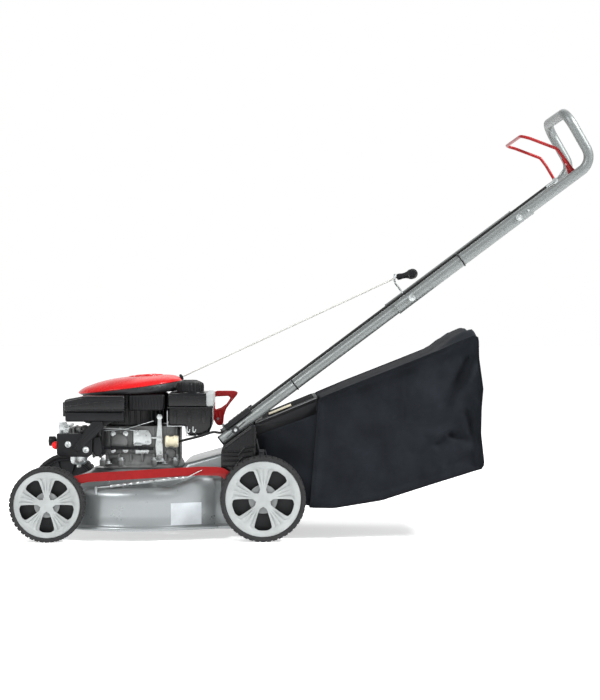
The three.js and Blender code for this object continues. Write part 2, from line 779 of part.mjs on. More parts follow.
// The brake cable's route, from the engine to the upper end of the left tube.
function brakeCable() {
  const route = [
    new THREE.Vector3(-198.5, -94, 226),
    new THREE.Vector3(-184, -108, 232),
    new THREE.Vector3(-150, -119, 242),
    new THREE.Vector3(-112, -126, 257),
    new THREE.Vector3(-84, -132, 274),
    onTube(-40, -135, 18),
    onTube(300, -135, 18),
    onTube(700, -135, 18),
  ];
  add("brake_cable", tube(route, 3, 8), "black");
}

// ---- Bag ----

const BAG = [
  [131, 339],
  [293, 399],
  [416, 463],
  [487, 491],
  [506, 489],
  [515, 376],
  [520, 282],
  [522, 178],
  [513, 163],
  [500, 163],
  [392, 129],
  [279, 93],
  [167, 75],
  [110, 76],
];
const NECK_HALF = 117;
const NECK = [
  [-57, 90],
  [-57, 222],
  [-16, 245],
  [-9, 267],
  [122, 320],
  [106, 86],
];

// The bag's skin: its outline at each y, drawn in towards its middle at both sides.
function bagSkin(sheet) {
  const middle = new THREE.Vector2(320, 262);
  const levels = [
    [-178, 0.9],
    [-170, 0.965],
    [-140, 1],
    [140, 1],
    [170, 0.965],
    [178, 0.9],
  ];
  const rings = levels.map(([y, scale]) =>
    BAG.map(([x, z]) => {
      const out = new THREE.Vector2(x, z).sub(middle);
      const p = out.multiplyScalar(scale - sheet / out.length()).add(middle);
      return new THREE.Vector3(p.x, y - sheet * Math.sign(y), p.y);
    }),
  );
  return loft(rings);
}

function bag() {
  const mouth = plate([[90, 108], [90, 290], [160, 300], [160, 108]], -105, 105);
  add("grass_bag", cut(bagSkin(0), bagSkin(3.6), mouth), "fabric");
  const hole = [
    [-80, 96],
    [-80, 212],
    [-12, 238],
    [0, 262],
    [150, 322],
    [150, 94],
  ];
  const inner = NECK_HALF - 4;
  add("bag_mouth_frame", cut(plate(NECK, -NECK_HALF, NECK_HALF), plate(hole, -inner, inner)), "black");
}

deck();
brackets();
axle("rear_axle", REAR_PIVOT, REAR_WHEEL);
axle("front_axle", FRONT_PIVOT, FRONT_WHEEL);
linkBar();
heightSpring();
heightLever();
wheels();
engineBlock();
crankTrain();
covers();
fuelSystem();
engineTrim();
rearFlap();
handle();
bail();
starter();
brakeCable();
bag();

export default mower;
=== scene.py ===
"""The looks of a push lawn mower with a petrol engine, a folding handle and a fabric grass bag.

The pieces are drawn in millimetres from the rear wheels' centre (x), the middle plane (y) and the ground (z),
and put into metres in the frame's place when they are finished.
"""

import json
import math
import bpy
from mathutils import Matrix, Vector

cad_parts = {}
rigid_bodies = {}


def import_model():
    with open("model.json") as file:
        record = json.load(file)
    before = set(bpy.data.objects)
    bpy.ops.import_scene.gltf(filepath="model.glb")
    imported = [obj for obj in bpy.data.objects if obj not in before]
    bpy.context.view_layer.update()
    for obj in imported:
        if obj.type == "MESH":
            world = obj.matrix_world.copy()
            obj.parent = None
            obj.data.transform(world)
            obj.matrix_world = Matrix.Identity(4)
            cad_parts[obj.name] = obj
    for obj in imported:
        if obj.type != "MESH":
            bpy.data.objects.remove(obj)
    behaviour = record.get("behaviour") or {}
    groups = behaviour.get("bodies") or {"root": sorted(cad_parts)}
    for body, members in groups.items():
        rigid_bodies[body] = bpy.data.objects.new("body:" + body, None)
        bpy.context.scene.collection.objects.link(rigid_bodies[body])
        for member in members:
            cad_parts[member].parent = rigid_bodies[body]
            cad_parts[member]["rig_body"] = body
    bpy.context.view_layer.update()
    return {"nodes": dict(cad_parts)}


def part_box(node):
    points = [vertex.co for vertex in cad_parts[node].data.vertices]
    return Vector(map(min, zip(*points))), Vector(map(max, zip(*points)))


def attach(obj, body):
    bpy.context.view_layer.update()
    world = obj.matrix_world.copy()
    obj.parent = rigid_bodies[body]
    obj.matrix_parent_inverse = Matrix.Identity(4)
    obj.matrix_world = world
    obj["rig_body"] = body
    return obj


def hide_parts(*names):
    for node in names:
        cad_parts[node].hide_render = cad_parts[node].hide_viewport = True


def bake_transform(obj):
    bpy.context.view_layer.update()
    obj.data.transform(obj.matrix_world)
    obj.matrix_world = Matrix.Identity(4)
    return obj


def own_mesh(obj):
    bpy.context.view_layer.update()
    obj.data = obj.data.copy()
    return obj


bl_info = {
    "name": "Push lawn mower",
    "version": (1, 0, 0),
    "blender": (4, 5, 0),
    "location": "View3D > Sidebar > Mower",
    "description": "Builds the visible pieces and finishes of a push lawn mower around its packed frame",
    "category": "Object",
}

import bmesh
import bpy
from mathutils import Matrix, Vector, noise

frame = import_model()

SIDES = (("left", -1), ("right", 1))
# name, side, tyre radius, rim radius, and the centre's x and z
WHEELS = (
    ("front_left", -1, 87.5, 77.0, (-502.0, 87.5)),
    ("rear_left", -1, 100.0, 88.0, (0.0, 100.0)),
    ("front_right", 1, 87.5, 77.0, (-502.0, 87.5)),
    ("rear_right", 1, 100.0, 88.0, (0.0, 100.0)),
)
BLADE_X = -300.0
HANDLE_PIVOT = Vector((-65.0, 0.0, 257.0))
SLOPE = math.atan2(550.0, 733.5)
HANDLE_Y = 146.0
WHEEL_Y = 212.5
COVER_Y = 229.5
LINK_PINS = ((-564.5, 117.5), (-62.5, 130))
HOOD_X, GRILLE_X = -322, -286
CAP_X, CAP_Y = -175, -68
MM = 0.001


def rear_wheel_x():
    low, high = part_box("tyre_rear_left")
    return (low.x + high.x) / 2


TO_FRAME = Matrix.Translation((rear_wheel_x(), 0, 0)) @ Matrix.Scale(MM, 4)


# ---- Settings ----


class MowerSizes(bpy.types.PropertyGroup):
    tread_blocks: bpy.props.IntProperty(
        name="Tread blocks", description="Blocks in each row of a tyre's tread", default=44, min=12, max=80
    )
    edge: bpy.props.FloatProperty(
        name="Edge radius", description="Rounding of moulded and pressed edges", default=0.0009, unit="LENGTH"
    )
    bag_sag: bpy.props.FloatProperty(
        name="Bag sag", description="How far the bag's fabric sinks between its seams", default=0.009,
        unit="LENGTH"
    )
    wrinkle: bpy.props.FloatProperty(
        name="Wrinkle depth", description="Depth of the folds in the bag", default=0.0045, unit="LENGTH"
    )
    folds: bpy.props.FloatProperty(name="Folds", description="Strength of the bag's large folds", default=2.8)
    light: bpy.props.FloatProperty(name="Light", description="Strength of the soft studio light", default=1.0)


class MowerColours(bpy.types.PropertyGroup):
    paint: bpy.props.FloatVectorProperty(
        name="Deck paint", description="Metallic paint of the deck", subtype="COLOR",
        default=(0.245, 0.265, 0.27)
    )
    handle: bpy.props.FloatVectorProperty(
        name="Handle paint", description="Paint of the handle's tubes", subtype="COLOR",
        default=(0.165, 0.18, 0.178)
    )
    red: bpy.props.FloatVectorProperty(
        name="Red", description="Bar, bail, lever and top cover", subtype="COLOR",
        default=(0.6, 0.006, 0.008)
    )
    black: bpy.props.FloatVectorProperty(
        name="Black", description="Moulded black plastic", subtype="COLOR",
        default=(0.007, 0.0075, 0.0085)
    )
    # This grey is also the fuel tank's painted highlight corner and, darkened, the hubcap discs' painted
    # shade.
    cover: bpy.props.FloatVectorProperty(
        name="Wheel covers", description="Grey of the wheel covers", subtype="COLOR",
        default=(0.3, 0.318, 0.318)
    )
    cloth: bpy.props.FloatVectorProperty(
        name="Bag cloth", description="Woven cloth of the bag", subtype="COLOR",
        default=(0.0078, 0.0092, 0.0116)
    )


def sizes():
    return bpy.context.scene.mower_sizes


def colours():
    return bpy.context.scene.mower_colours


# ---- Finishes ----


class Nodes:
    """A material's node tree, with its shader at hand."""

    def __init__(self, name):
        self.material = bpy.data.materials.new(name)
        self.material.use_nodes = True
        self.tree = self.material.node_tree
        self.shader = self.tree.nodes["Principled BSDF"]
        self.place = self.tree.nodes.new("ShaderNodeTexCoord").outputs["Object"]

    def node(self, kind, inputs=None, **settings):
        made = self.tree.nodes.new("ShaderNode" + kind)
        for key, value in settings.items():
            setattr(made, key, value)
        for key, value in (inputs or {}).items():
            if isinstance(value, bpy.types.NodeSocket):
                self.tree.links.new(value, made.inputs[key])
            else:
                made.inputs[key].default_value = value
        return made

    def noise(self, scale, detail=4.0, roughness=0.55, place=None):
        inputs = {"Vector": place or self.place, "Scale": scale, "Detail": detail, "Roughness": roughness}
        return self.node("TexNoise", inputs).outputs["Fac"]

    def spread(self, value, low, high, start=0.3, end=0.7):
        inputs = {"Value": value, "From Min": start, "From Max": end, "To Min": low, "To Max": high}
        return self.node("MapRange", inputs).outputs["Result"]

    def blend(self, value, dark, light, start=0.3, end=0.7):
        ramp = self.node("ValToRGB", {"Fac": value})
        ramp.color_ramp.elements[0].position = start
        ramp.color_ramp.elements[1].position = end
        ramp.color_ramp.elements[0].color = (*dark, 1)
        ramp.color_ramp.elements[1].color = (*light, 1)
        return ramp.outputs["Color"]

    def mix(self, factor, under, over):
        """The socket under, with the plain colour over mixed in by the socket factor."""
        inputs = {"Factor": factor, "A": under, "B": (*over, 1)}
        return self.node("Mix", inputs, data_type="RGBA").outputs["Result"]

    def bump(self, height, strength, distance, under=None):
        inputs = {"Height": height, "Strength": strength, "Distance": distance}
        if under is not None:
            inputs["Normal"] = under
        return self.node("Bump", inputs).outputs["Normal"]

    def use(self, **sockets):
        for key, value in sockets.items():
            socket = self.shader.inputs[key.replace("_", " ")]
            if isinstance(value, bpy.types.NodeSocket):
                self.tree.links.new(value, socket)
            else:
                socket.default_value = value


def shade(colour, factor):
    return tuple(min(1.0, c * factor) for c in colour)


def metallic_paint(name, colour, roughness, coat):
    n = Nodes(name)
    cloud = n.noise(9, 3)
    flake = n.noise(1800, 1)
    peel = n.noise(330, 2)
    base = n.blend(cloud, shade(colour, 0.93), shade(colour, 1.05))
    tint = n.mix(n.spread(flake, 0, 1, 0.45, 0.75), base, shade(colour, 1.14))
    dust = n.noise(26, 6, 0.7)
    surface = n.bump(peel, 0.04, 0.0006, n.bump(flake, 0.02, 0.0002))
    n.use(Base_Color=tint, Metallic=0.6, Roughness=n.spread(dust, roughness - 0.05, roughness + 0.1),
          Normal=surface, Coat_Weight=coat, Coat_Roughness=0.12)
    return n.material


def gloss_paint(name, colour, roughness):
    n = Nodes(name)
    cloud = n.noise(30, 4)
    peel = n.noise(420, 2)
    n.use(Base_Color=n.blend(cloud, shade(colour, 0.86), shade(colour, 1.06)),
          Roughness=n.spread(n.noise(60, 6, 0.7), roughness - 0.05, roughness + 0.12),
          Normal=n.bump(peel, 0.1, 0.0005), Coat_Weight=0.12, Coat_Roughness=0.12, Specular_IOR_Level=0.25)
    return n.material


def moulded(name, colour, roughness, grain=0.12, size=1100, worn=1.5, gloss=0.2):
    n = Nodes(name)
    pores = n.noise(size, 2)
    cloud = n.noise(18, 5, 0.6)
    scuffs = n.noise(95, 8, 0.75)
    base = n.blend(cloud, shade(colour, 0.85), shade(colour, 1.15))
    scuffed = n.mix(n.spread(scuffs, 0, 0.35, 0.58, 0.8), base, shade(colour, worn + 0.6))
    n.use(Base_Color=scuffed, Roughness=n.spread(scuffs, roughness - 0.07, roughness + 0.13),
          Normal=n.bump(pores, grain, 0.0006), Specular_IOR_Level=gloss)
    return n.material


def tyre_rubber(name):
    n = Nodes(name)
    dusty = n.noise(45, 7, 0.7)
    pores = n.noise(700, 3)
    n.use(Base_Color=n.blend(dusty, (0.008, 0.008, 0.009), (0.024, 0.024, 0.025), 0.35, 0.8),
          Roughness=n.spread(dusty, 0.62, 0.85), Normal=n.bump(pores, 0.3, 0.0008), Specular_IOR_Level=0.35)
    return n.material


def bare_metal(name, colour, roughness, stretch=(1, 1, 1), scale=500, bump=0.08, stain=0.2):
    n = Nodes(name)
    lay = n.node("Mapping", {"Vector": n.place, "Scale": stretch}).outputs["Vector"]
    grain = n.noise(scale, 3, place=lay)
    cloud = n.noise(70, 5, 0.65)
    n.use(Base_Color=n.blend(cloud, shade(colour, 1 - stain), shade(colour, 1 + stain * 0.5)), Metallic=0.92,
          Roughness=n.spread(cloud, roughness - 0.08, roughness + 0.14), Normal=n.bump(grain, bump, 0.0006))
    return n.material


def cast_metal(name, colour):
    n = Nodes(name)
    skin = n.noise(260, 6, 0.7)
    stain = n.noise(38, 6, 0.7)
    n.use(Base_Color=n.blend(stain, shade(colour, 0.55), shade(colour, 1.1), 0.3, 0.75), Metallic=0.75,
          Roughness=n.spread(stain, 0.42, 0.62), Normal=n.bump(skin, 0.5, 0.0012))
    return n.material


def woven_cloth(name, colour):
    n = Nodes(name)
    worn = n.noise(11, 5, 0.6)
    fuzz = n.noise(900, 2)
    waves = []
    for turn in ((0, 0, 0), (0, math.pi / 2, 0)):
        lay = n.node("Mapping", {"Vector": n.place, "Rotation": turn}).outputs["Vector"]
        waves.append(n.node("TexWave", {"Vector": lay, "Scale": 420.0, "Distortion": 0.6, "Detail": 1.0},
                            bands_direction="X").outputs["Fac"])
    weave = n.node("Math", {0: waves[0], 1: waves[1]}, operation="MULTIPLY").outputs["Value"]
    base = n.blend(worn, shade(colour, 0.75), shade(colour, 1.5))
    lit = n.mix(n.spread(weave, 0, 0.5, 0.2, 0.9), base, shade(colour, 2.2))
    surface = n.bump(weave, 0.35, 0.0006, n.bump(fuzz, 0.15, 0.0005))
    n.use(Base_Color=lit, Roughness=n.spread(fuzz, 0.72, 0.9), Normal=surface, Sheen_Weight=0.02,
          Sheen_Roughness=0.5, Specular_IOR_Level=0.06)
    return n.material


def twisted_cord(name, colour, pitch):
    n = Nodes(name)
    lay = n.node("Mapping", {"Vector": n.place, "Rotation": (0.4, 0.9, 0.2)}).outputs["Vector"]
    wave = n.node("TexWave", {"Vector": lay, "Scale": pitch, "Distortion": 1.5}, bands_direction="DIAGONAL")
    strands = wave.outputs["Fac"]
    n.use(Base_Color=n.blend(strands, shade(colour, 0.6), colour), Roughness=0.75,
          Normal=n.bump(strands, 0.6, 0.0005))
    return n.material


def make_finishes():
    c = colours()
    return {
        "paint": metallic_paint("deck_paint", c.paint, 0.3, 0.35),
        "handle": metallic_paint("handle_paint", c.handle, 0.42, 0.08),
        "red": gloss_paint("red_paint", shade(c.red, 0.38), 0.34),
        "red_plastic": gloss_paint("red_cover", shade(c.red, 0.86), 0.22),
        "red_rubber": moulded("red_rubber", shade(c.red, 1.1), 0.45, 0.1),
        "black": moulded("black_plastic", c.black, 0.36),
        "gloss_black": moulded("tank_plastic", shade(c.black, 0.8), 0.2, 0.05, 700, 1.5, 0.3),
        "flap": moulded("flap_plastic", (0.013, 0.0135, 0.015), 0.45, 0.25, 800),
        # Light grey for the flap's edges: a painted highlight.
        "rim": moulded("painted_highlight_grey", (0.16, 0.165, 0.17), 0.5, 0.1, 800),
        "band": moulded("band_plastic", (0.022, 0.023, 0.025), 0.42, 0.2),
        "rubber": tyre_rubber("tyre_rubber"),
        # The wheel covers' grey, which also paints the highlight on the fuel tank's rear corner.
        "cover": moulded("cover_plastic", c.cover, 0.38, 0.08, 900, 0.6, 0.5),
        # A darker copy of the wheel covers' grey: painted shade for the hubcaps' recessed middles.
        "disc": moulded("disc_painted_shade", shade(c.cover, 0.55), 0.45, 0.08, 900, 0.6, 0.4),
        "zinc": bare_metal("zinc_plate", (0.5, 0.53, 0.53), 0.3),
        "steel": bare_metal("dark_steel", (0.3, 0.3, 0.31), 0.35, (1, 14, 1)),
        "iron": cast_metal("cast_iron", (0.12, 0.12, 0.12)),
        "cast": cast_metal("cast_aluminium", (0.19, 0.195, 0.195)),
        "burnt": cast_metal("burnt_steel", (0.2, 0.17, 0.14)),
        "cream": moulded("cream_plastic", (0.62, 0.57, 0.42), 0.42, 0.08, 900, 0.8),
        "label": moulded("blank_label", (0.74, 0.78, 0.81), 0.4, 0.03, 900, 0.6, 0.5),
        "cloth": woven_cloth("bag_cloth", c.cloth),
        "binding": woven_cloth("bag_binding", shade(c.cloth, 0.7)),
        "rope": twisted_cord("rope_fibre", (0.62, 0.62, 0.58), 300),
        "cable": moulded("cable_sheath", (0.012, 0.012, 0.012), 0.4, 0.1),
    }


def finish(name):
    return bpy.data.materials[FINISHES[name].name]


FINISHES = {}


# ---- Shaping ----


def spot(x, y, z):
    return Vector((x, y, z))


def soften(bm, edges, width, segments=2):
    if width > 0 and edges:
        bmesh.ops.bevel(bm, geom=edges, offset=width, offset_type="OFFSET", segments=segments, profile=0.5,
                        affect="EDGES", material=-1, clamp_overlap=True)


def add_box(bm, low, high, edge=0.8, turn=None):
    """A box between two corners, with softened edges, and turned about its middle by a matrix."""
    low, high = Vector(low), Vector(high)
    place = Matrix.Translation((low + high) / 2)
    if turn is not None:
        place = place @ turn.to_4x4()
    size = Matrix.Diagonal((*(high - low), 1))
    made = bmesh.ops.create_cube(bm, size=1.0, matrix=place @ size)["verts"]
    soften(bm, list({e for v in made for e in v.link_edges}), edge)


def add_slab(bm, outline, y0, y1, edge=0.8, segments=2):
    """A flat outline of x, z points, between two y planes, with softened edges."""
    verts = [bm.verts.new((x, y0, z)) for x, z in outline]
    face = bm.faces.new(verts)
    made = bmesh.ops.extrude_face_region(bm, geom=[face])["geom"]
    moved = [v for v in made if isinstance(v, bmesh.types.BMVert)]
    bmesh.ops.translate(bm, vec=(0, y1 - y0, 0), verts=moved)
    edges = {e for v in verts + moved for e in v.link_edges}
    bmesh.ops.recalc_face_normals(bm, faces=list({f for v in verts + moved for f in v.link_faces}))
    soften(bm, list(edges), edge, segments)


def add_rod(bm, start, end, radius, sides=24, edge=0.5, top=None):
    """A round bar between two points, narrowing to the top radius."""
    start, end = Vector(start), Vector(end)
    along = end - start
    place = Matrix.Translation((start + end) / 2) @ along.to_track_quat("Z", "Y").to_matrix().to_4x4()
    top = radius if top is None else top
    made = bmesh.ops.create_cone(bm, cap_ends=True, segments=sides, radius1=radius, radius2=top,
                                 depth=along.length, matrix=place)["verts"]
    rims = {e for v in made for e in v.link_edges if any(len(f.verts) > 4 for f in e.link_faces)}
    if sides <= 8:
        rims = {e for v in made for e in v.link_edges}
    soften(bm, list(rims), edge)


def add_turned(bm, outline, centre, axis, steps=48, closed=True):
    """An outline of (radius, height) pairs turned round an axis through centre."""
    axis = Vector(axis)
    side = axis.orthogonal().normalized()
    centre = Vector(centre)
    verts = [bm.verts.new(centre + side * r + axis * h) for r, h in outline]
    pairs = list(zip(verts, verts[1:])) + ([(verts[-1], verts[0])] if closed else [])
    edges = [bm.edges.new(pair) for pair in pairs]
    before = set(bm.verts) - set(verts)
    bmesh.ops.spin(bm, geom=verts + edges, cent=centre, axis=axis, angle=2 * math.pi, steps=steps,
                   use_merge=True, use_duplicate=False)
    made = [v for v in bm.verts if v not in before]
    bmesh.ops.remove_doubles(bm, verts=made, dist=1e-4)
    faces = list({f for v in bm.verts if v not in before for f in v.link_faces})
    bmesh.ops.recalc_face_normals(bm, faces=faces)


def rounded(corners, radius, step=math.radians(9)):
    """Corners joined by arcs."""
    corners = [Vector(c) for c in corners]
    points = [corners[0]]
    for before, corner, after in zip(corners, corners[1:], corners[2:]):
        into = (corner - before).normalized()
        out = (after - corner).normalized()
        turn = into.angle(out)
        if turn < 0.01:
            points.append(corner)
            continue
        inward = (out - into * out.dot(into)).normalized()
        start = corner - into * radius * math.tan(turn / 2)
        count = max(2, math.ceil(turn / step))
        for k in range(count + 1):
            a = turn * k / count
            points.append(start + into * radius * math.sin(a) + inward * radius * (1 - math.cos(a)))
    points.append(corners[-1])
    return points


def smoothed(points, between):
    """A smooth run (Catmull-Rom) through given points or levels."""
    points = [Vector(p) for p in points]
    out = []
    for i in range(len(points) - 1):
        p = [points[min(max(k, 0), len(points) - 1)] for k in (i - 1, i, i + 1, i + 2)]
        for k in range(between):
            t = k / between
            out.append(0.5 * (2 * p[1] + (p[2] - p[0]) * t + (2 * p[0] - 5 * p[1] + 4 * p[2] - p[3]) * t * t
                              + (3 * p[1] - p[0] - 3 * p[2] + p[3]) * t ** 3))
    return out + [points[-1]]


def add_pipe(bm, points, radius, resolution=5, closed=False):
    """A round bar along points."""
    curve = bpy.data.curves.new("pipe", "CURVE")
    curve.dimensions = "3D"
    curve.bevel_depth = radius
    curve.bevel_resolution = resolution
    curve.use_fill_caps = True
    line = curve.splines.new("POLY")
    line.points.add(len(points) - 1)
    for p, at in zip(line.points, points):
        p.co = (*at, 1)
    line.use_cyclic_u = closed
    holder = bpy.data.objects.new("pipe", curve)
    mesh = bpy.data.meshes.new_from_object(holder)
    part = bmesh.new()
    part.from_mesh(mesh)
    bmesh.ops.remove_doubles(part, verts=part.verts, dist=1e-4)
    part.to_mesh(mesh)
    part.free()
    bm.from_mesh(mesh)
    bpy.data.objects.remove(holder)
    bpy.data.curves.remove(curve)
    bpy.data.meshes.remove(mesh)


def add_helix(bm, start, end, radius, wire, turns, per_turn=14):
    """A coil of wire round the line between two points."""
    start, end = Vector(start), Vector(end)
    along = (end - start).normalized()
    side = along.orthogonal().normalized()
    up = along.cross(side)
    points = []
    for i in range(int(turns * per_turn) + 1):
        a = 2 * math.pi * i / per_turn
        t = i / (turns * per_turn)
        points.append(start.lerp(end, t) + side * radius * math.cos(a) + up * radius * math.sin(a))
    add_pipe(bm, points, wire, 2)


def add_bolt(bm, at, axis, radius, height, washer=True, shank=0.0):
    """A hexagon head on a washer, whose face is at a point, looking along an axis."""
    at, axis = Vector(at), Vector(axis).normalized()
    lift = 1.6 if washer else 0.0
    if washer:
        add_rod(bm, at, at + axis * lift, radius * 1.5, 28, 0.3)
    add_rod(bm, at + axis * lift, at + axis * (lift + height), radius, 6, 0.5)
    if shank > 0:
        add_rod(bm, at + axis * (lift + height), at + axis * (lift + height + shank), radius * 0.5, 18, 0.3)


def add_cross_screw(bm, at, axis, radius, height):
    """A pan head screw whose middle is sunk, with a thin cross in it."""
    at, axis = Vector(at), Vector(axis).normalized()
    head = [(0.01, 0), (radius, 0), (radius, height * 0.45), (radius * 0.8, height * 0.85),
            (radius * 0.45, height), (radius * 0.4, height * 0.55), (0.01, height * 0.5)]
    add_turned(bm, head, at, axis, 28)
    side = axis.orthogonal().normalized()
    for turn in (0, math.pi / 2):
        arm = Matrix.Rotation(turn, 3, axis) @ side
        middle = at + axis * height * 0.62
        add_pipe(bm, [middle - arm * radius * 0.42, middle + arm * radius * 0.42], radius * 0.09, 1)


def piece(bm, name, body, look, replaces=(), sharp=38.0, blend=None):
    """The finished object of a bmesh drawn in millimetres."""
    bm.transform(TO_FRAME)
    for edge in bm.edges:
        edge.smooth = len(edge.link_faces) != 2 or edge.calc_face_angle(0) < math.radians(sharp)
    for face in bm.faces:
        face.smooth = True
    mesh = bpy.data.meshes.new(name)
    bm.to_mesh(mesh)
    bm.free()
    made = bpy.data.objects.new(name, mesh)
    bpy.context.scene.collection.objects.link(made)
    mesh.materials.append(finish(look))
    if replaces:
        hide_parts(*replaces)
    if blend:
        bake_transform(made)
    else:
        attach(made, body)
    return made


def dressed(node, look, edge=None, sharp=32.0, add=None):
    """A CAD node's own shape with rounded edges and smooth faces, and with what add draws on it."""
    body = frame["nodes"][node]["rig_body"]
    bm = bmesh.new()
    bm.from_mesh(frame["nodes"][node].data)
    bmesh.ops.remove_doubles(bm, verts=bm.verts, dist=2e-6)
    bmesh.ops.dissolve_limit(bm, angle_limit=math.radians(0.6), verts=bm.verts, edges=bm.edges)
    bm.transform(TO_FRAME.inverted())
    width = sizes().edge / MM if edge is None else edge
    edges = [e for e in bm.edges if len(e.link_faces) == 2 and e.calc_face_angle(0) > math.radians(sharp)]
    soften(bm, edges, width)
    if add:
        add(bm)
    return piece(bm, node + "_shape", body, look, (node,))


def give_wall(made, thickness, offset=-1):
    """A wall's thickness in metres, inwards from the drawn skin at offset -1."""
    wall = made.modifiers.new("Wall", "SOLIDIFY")
    wall.thickness = thickness
    wall.offset = offset


def on_tube(x, y, lift=0.0):
    """A point on the centre line of a handle tube, or lifted off it."""
    z = HANDLE_PIVOT.z + (x - HANDLE_PIVOT.x) * math.tan(SLOPE)
    return spot(x - lift * math.sin(SLOPE), y, z + lift * math.cos(SLOPE))


# ---- Deck ----


DECK_REAR = -64.0
DECK_HALF = 160.0
CHAMBER_R = 215.0
WAIST = Vector((-110 - BLADE_X, DECK_HALF))
WAIST_ANGLE = math.atan2(WAIST.y, WAIST.x)
TANGENT = WAIST_ANGLE + math.acos(CHAMBER_R / WAIST.length)


def plan_radius(angle):
    """The deck wall's distance from the blade's axis: circle, tangent to the waist, flank and rear."""
    if angle >= TANGENT:
        return CHAMBER_R
    side = CHAMBER_R / math.cos(angle - TANGENT)
    flank = DECK_HALF / max(math.sin(angle), 1e-6)
    return min(max(side, flank), (DECK_REAR - BLADE_X) / math.cos(angle))


def ease(value, low, high):
    t = min(max((value - low) / (high - low), 0.0), 1.0)
    return t * t * (3 - 2 * t)


def ring_on(bm, places):
    ring = bmesh.ops.create_circle(bm, segments=len(places), radius=1)["verts"]
    for v, at in zip(ring, places):
        v.co = at
    return ring


def join_rings(bm, rings):
    loops = [list({e for v in ring for e in v.link_edges}) for ring in rings]
    for a, b in zip(loops, loops[1:]):
        bmesh.ops.bridge_loops(bm, edges=a + b)


def deck_shell(bm):
    steps = 200
    corner = math.atan2(DECK_HALF, DECK_REAR - BLADE_X)
    angles = [2 * math.pi * i / steps - math.pi for i in range(steps)]
    for mark in (corner, WAIST_ANGLE):
        for s in (-1, 1):
            near = min(range(steps), key=lambda i: abs(angles[i] - s * mark))
            angles[near] = s * mark
    # height, how far the wall is drawn in, and how much it rises towards the rear
    lip = [(25, -4.6, 0), (24.2, -6, 0), (26, -7.2, 0), (30, -7.4, 0), (33, -6, 0), (34.4, -2, 0), (37, 0, 0),
           (60, 0, 4)]
    shoulder = [(98, 0, 20), (108, 2, 25), (116, 8, 28.5), (122, 20, 29.5), (128, 42, 27), (138, 66, 19),
                (149, 92, 9), (158.5, 104, 2), (160, 112, 0)]
    rings = []
    for z, inset, lift in lip + smoothed(shoulder, 4):
        places = []
        for a in angles:
            r = plan_radius(abs(a)) - inset
            x = BLADE_X + r * math.cos(a)
            places.append((x, r * math.sin(a), z + lift * ease(x, -230, -140)))
        rings.append(ring_on(bm, places))
    join_rings(bm, rings)
    bm.faces.new(rings[-1])
    bmesh.ops.recalc_face_normals(bm, faces=bm.faces)
    top = max(bm.faces, key=lambda f: f.calc_center_median().z)
    if top.normal.z < 0:
        bmesh.ops.reverse_faces(bm, faces=bm.faces)
    half, front, low = 118, -206, 90
    for at, axis in (((0, half, 0), (0, 1, 0)), ((0, -half, 0), (0, 1, 0)), ((front, 0, 0), (1, 0, 0)),
                     ((0, 0, low), (0, 0, 1))):
        bmesh.ops.bisect_plane(bm, geom=[*bm.verts, *bm.edges, *bm.faces], plane_co=at, plane_no=axis)
    middles = ((f, f.calc_center_median()) for f in bm.faces)
    tunnel = [f for f, at in middles if abs(at.y) < half and at.x > front and at.z > low]
    bmesh.ops.delete(bm, geom=tunnel, context="FACES")


def deck_hump(bm):
    side = [(-262, 90), (-262, 118), (-226, 149), (-198, 157), (-181, 176), (-94, 200), (DECK_REAR, 200),
            (DECK_REAR, 90)]
    part = bmesh.new()
    add_slab(part, side, -128, 128, 11, 5)
    spare = [f for f in part.faces if f.normal.x > 0.9 or f.normal.z < -0.9]
    bmesh.ops.delete(part, geom=spare, context="FACES")
    mesh = bpy.data.meshes.new("hump")
    part.to_mesh(mesh)
    part.free()
    bm.from_mesh(mesh)
    bpy.data.meshes.remove(mesh)


def build_deck():
    bm = bmesh.new()
    deck_shell(bm)
    deck_hump(bm)
    shell = piece(bm, "deck_shell", "chassis", "paint", ("deck",), 50)
    give_wall(shell, 0.002)
    bm = bmesh.new()
    for s in (-1, 1):
        low, high = sorted((s * 118, s * 126))
        lug = [(-562, 76), (-556.5, 77), (-486, 88), (-486, 60), (-556.5, 48.5), (-566, 52), (-571, 62),
               (-568, 71)]
        add_slab(bm, lug, low, high, 1.5)
    add_box(bm, (-394, -196, 108), (-388, -190, 127), 1.0)
    piece(bm, "deck_lugs", "chassis", "paint")
    bm = bmesh.new()
    for s in (-1, 1):
        for x in (-372, -236):
            add_bolt(bm, (x, s * 86, 172), (0, 0, 1), 6.5, 5, True, 3)
    piece(bm, "deck_bolts", "chassis", "zinc")
    bm = bmesh.new()
    label_plate(bm)
    piece(bm, "blank_label", "chassis", "label")


def wall_point(x, z, proud):
    """A point on the left wall of the deck, where it runs from the chamber to the tunnel."""
    y = (CHAMBER_R + proud - (x - BLADE_X) * math.cos(TANGENT)) / math.sin(TANGENT)
    return spot(x, -y, z)


def label_plate(bm):
    corners = [wall_point(x, z, 0.7) for x, z in ((-216, 36), (-145, 36), (-145, 88), (-216, 88))]
    verts = [bm.verts.new(c) for c in corners]
    face = bm.faces.new(verts)
    bmesh.ops.solidify(bm, geom=[face], thickness=0.5)
    bmesh.ops.recalc_face_normals(bm, faces=bm.faces)


# ---- Wheels ----


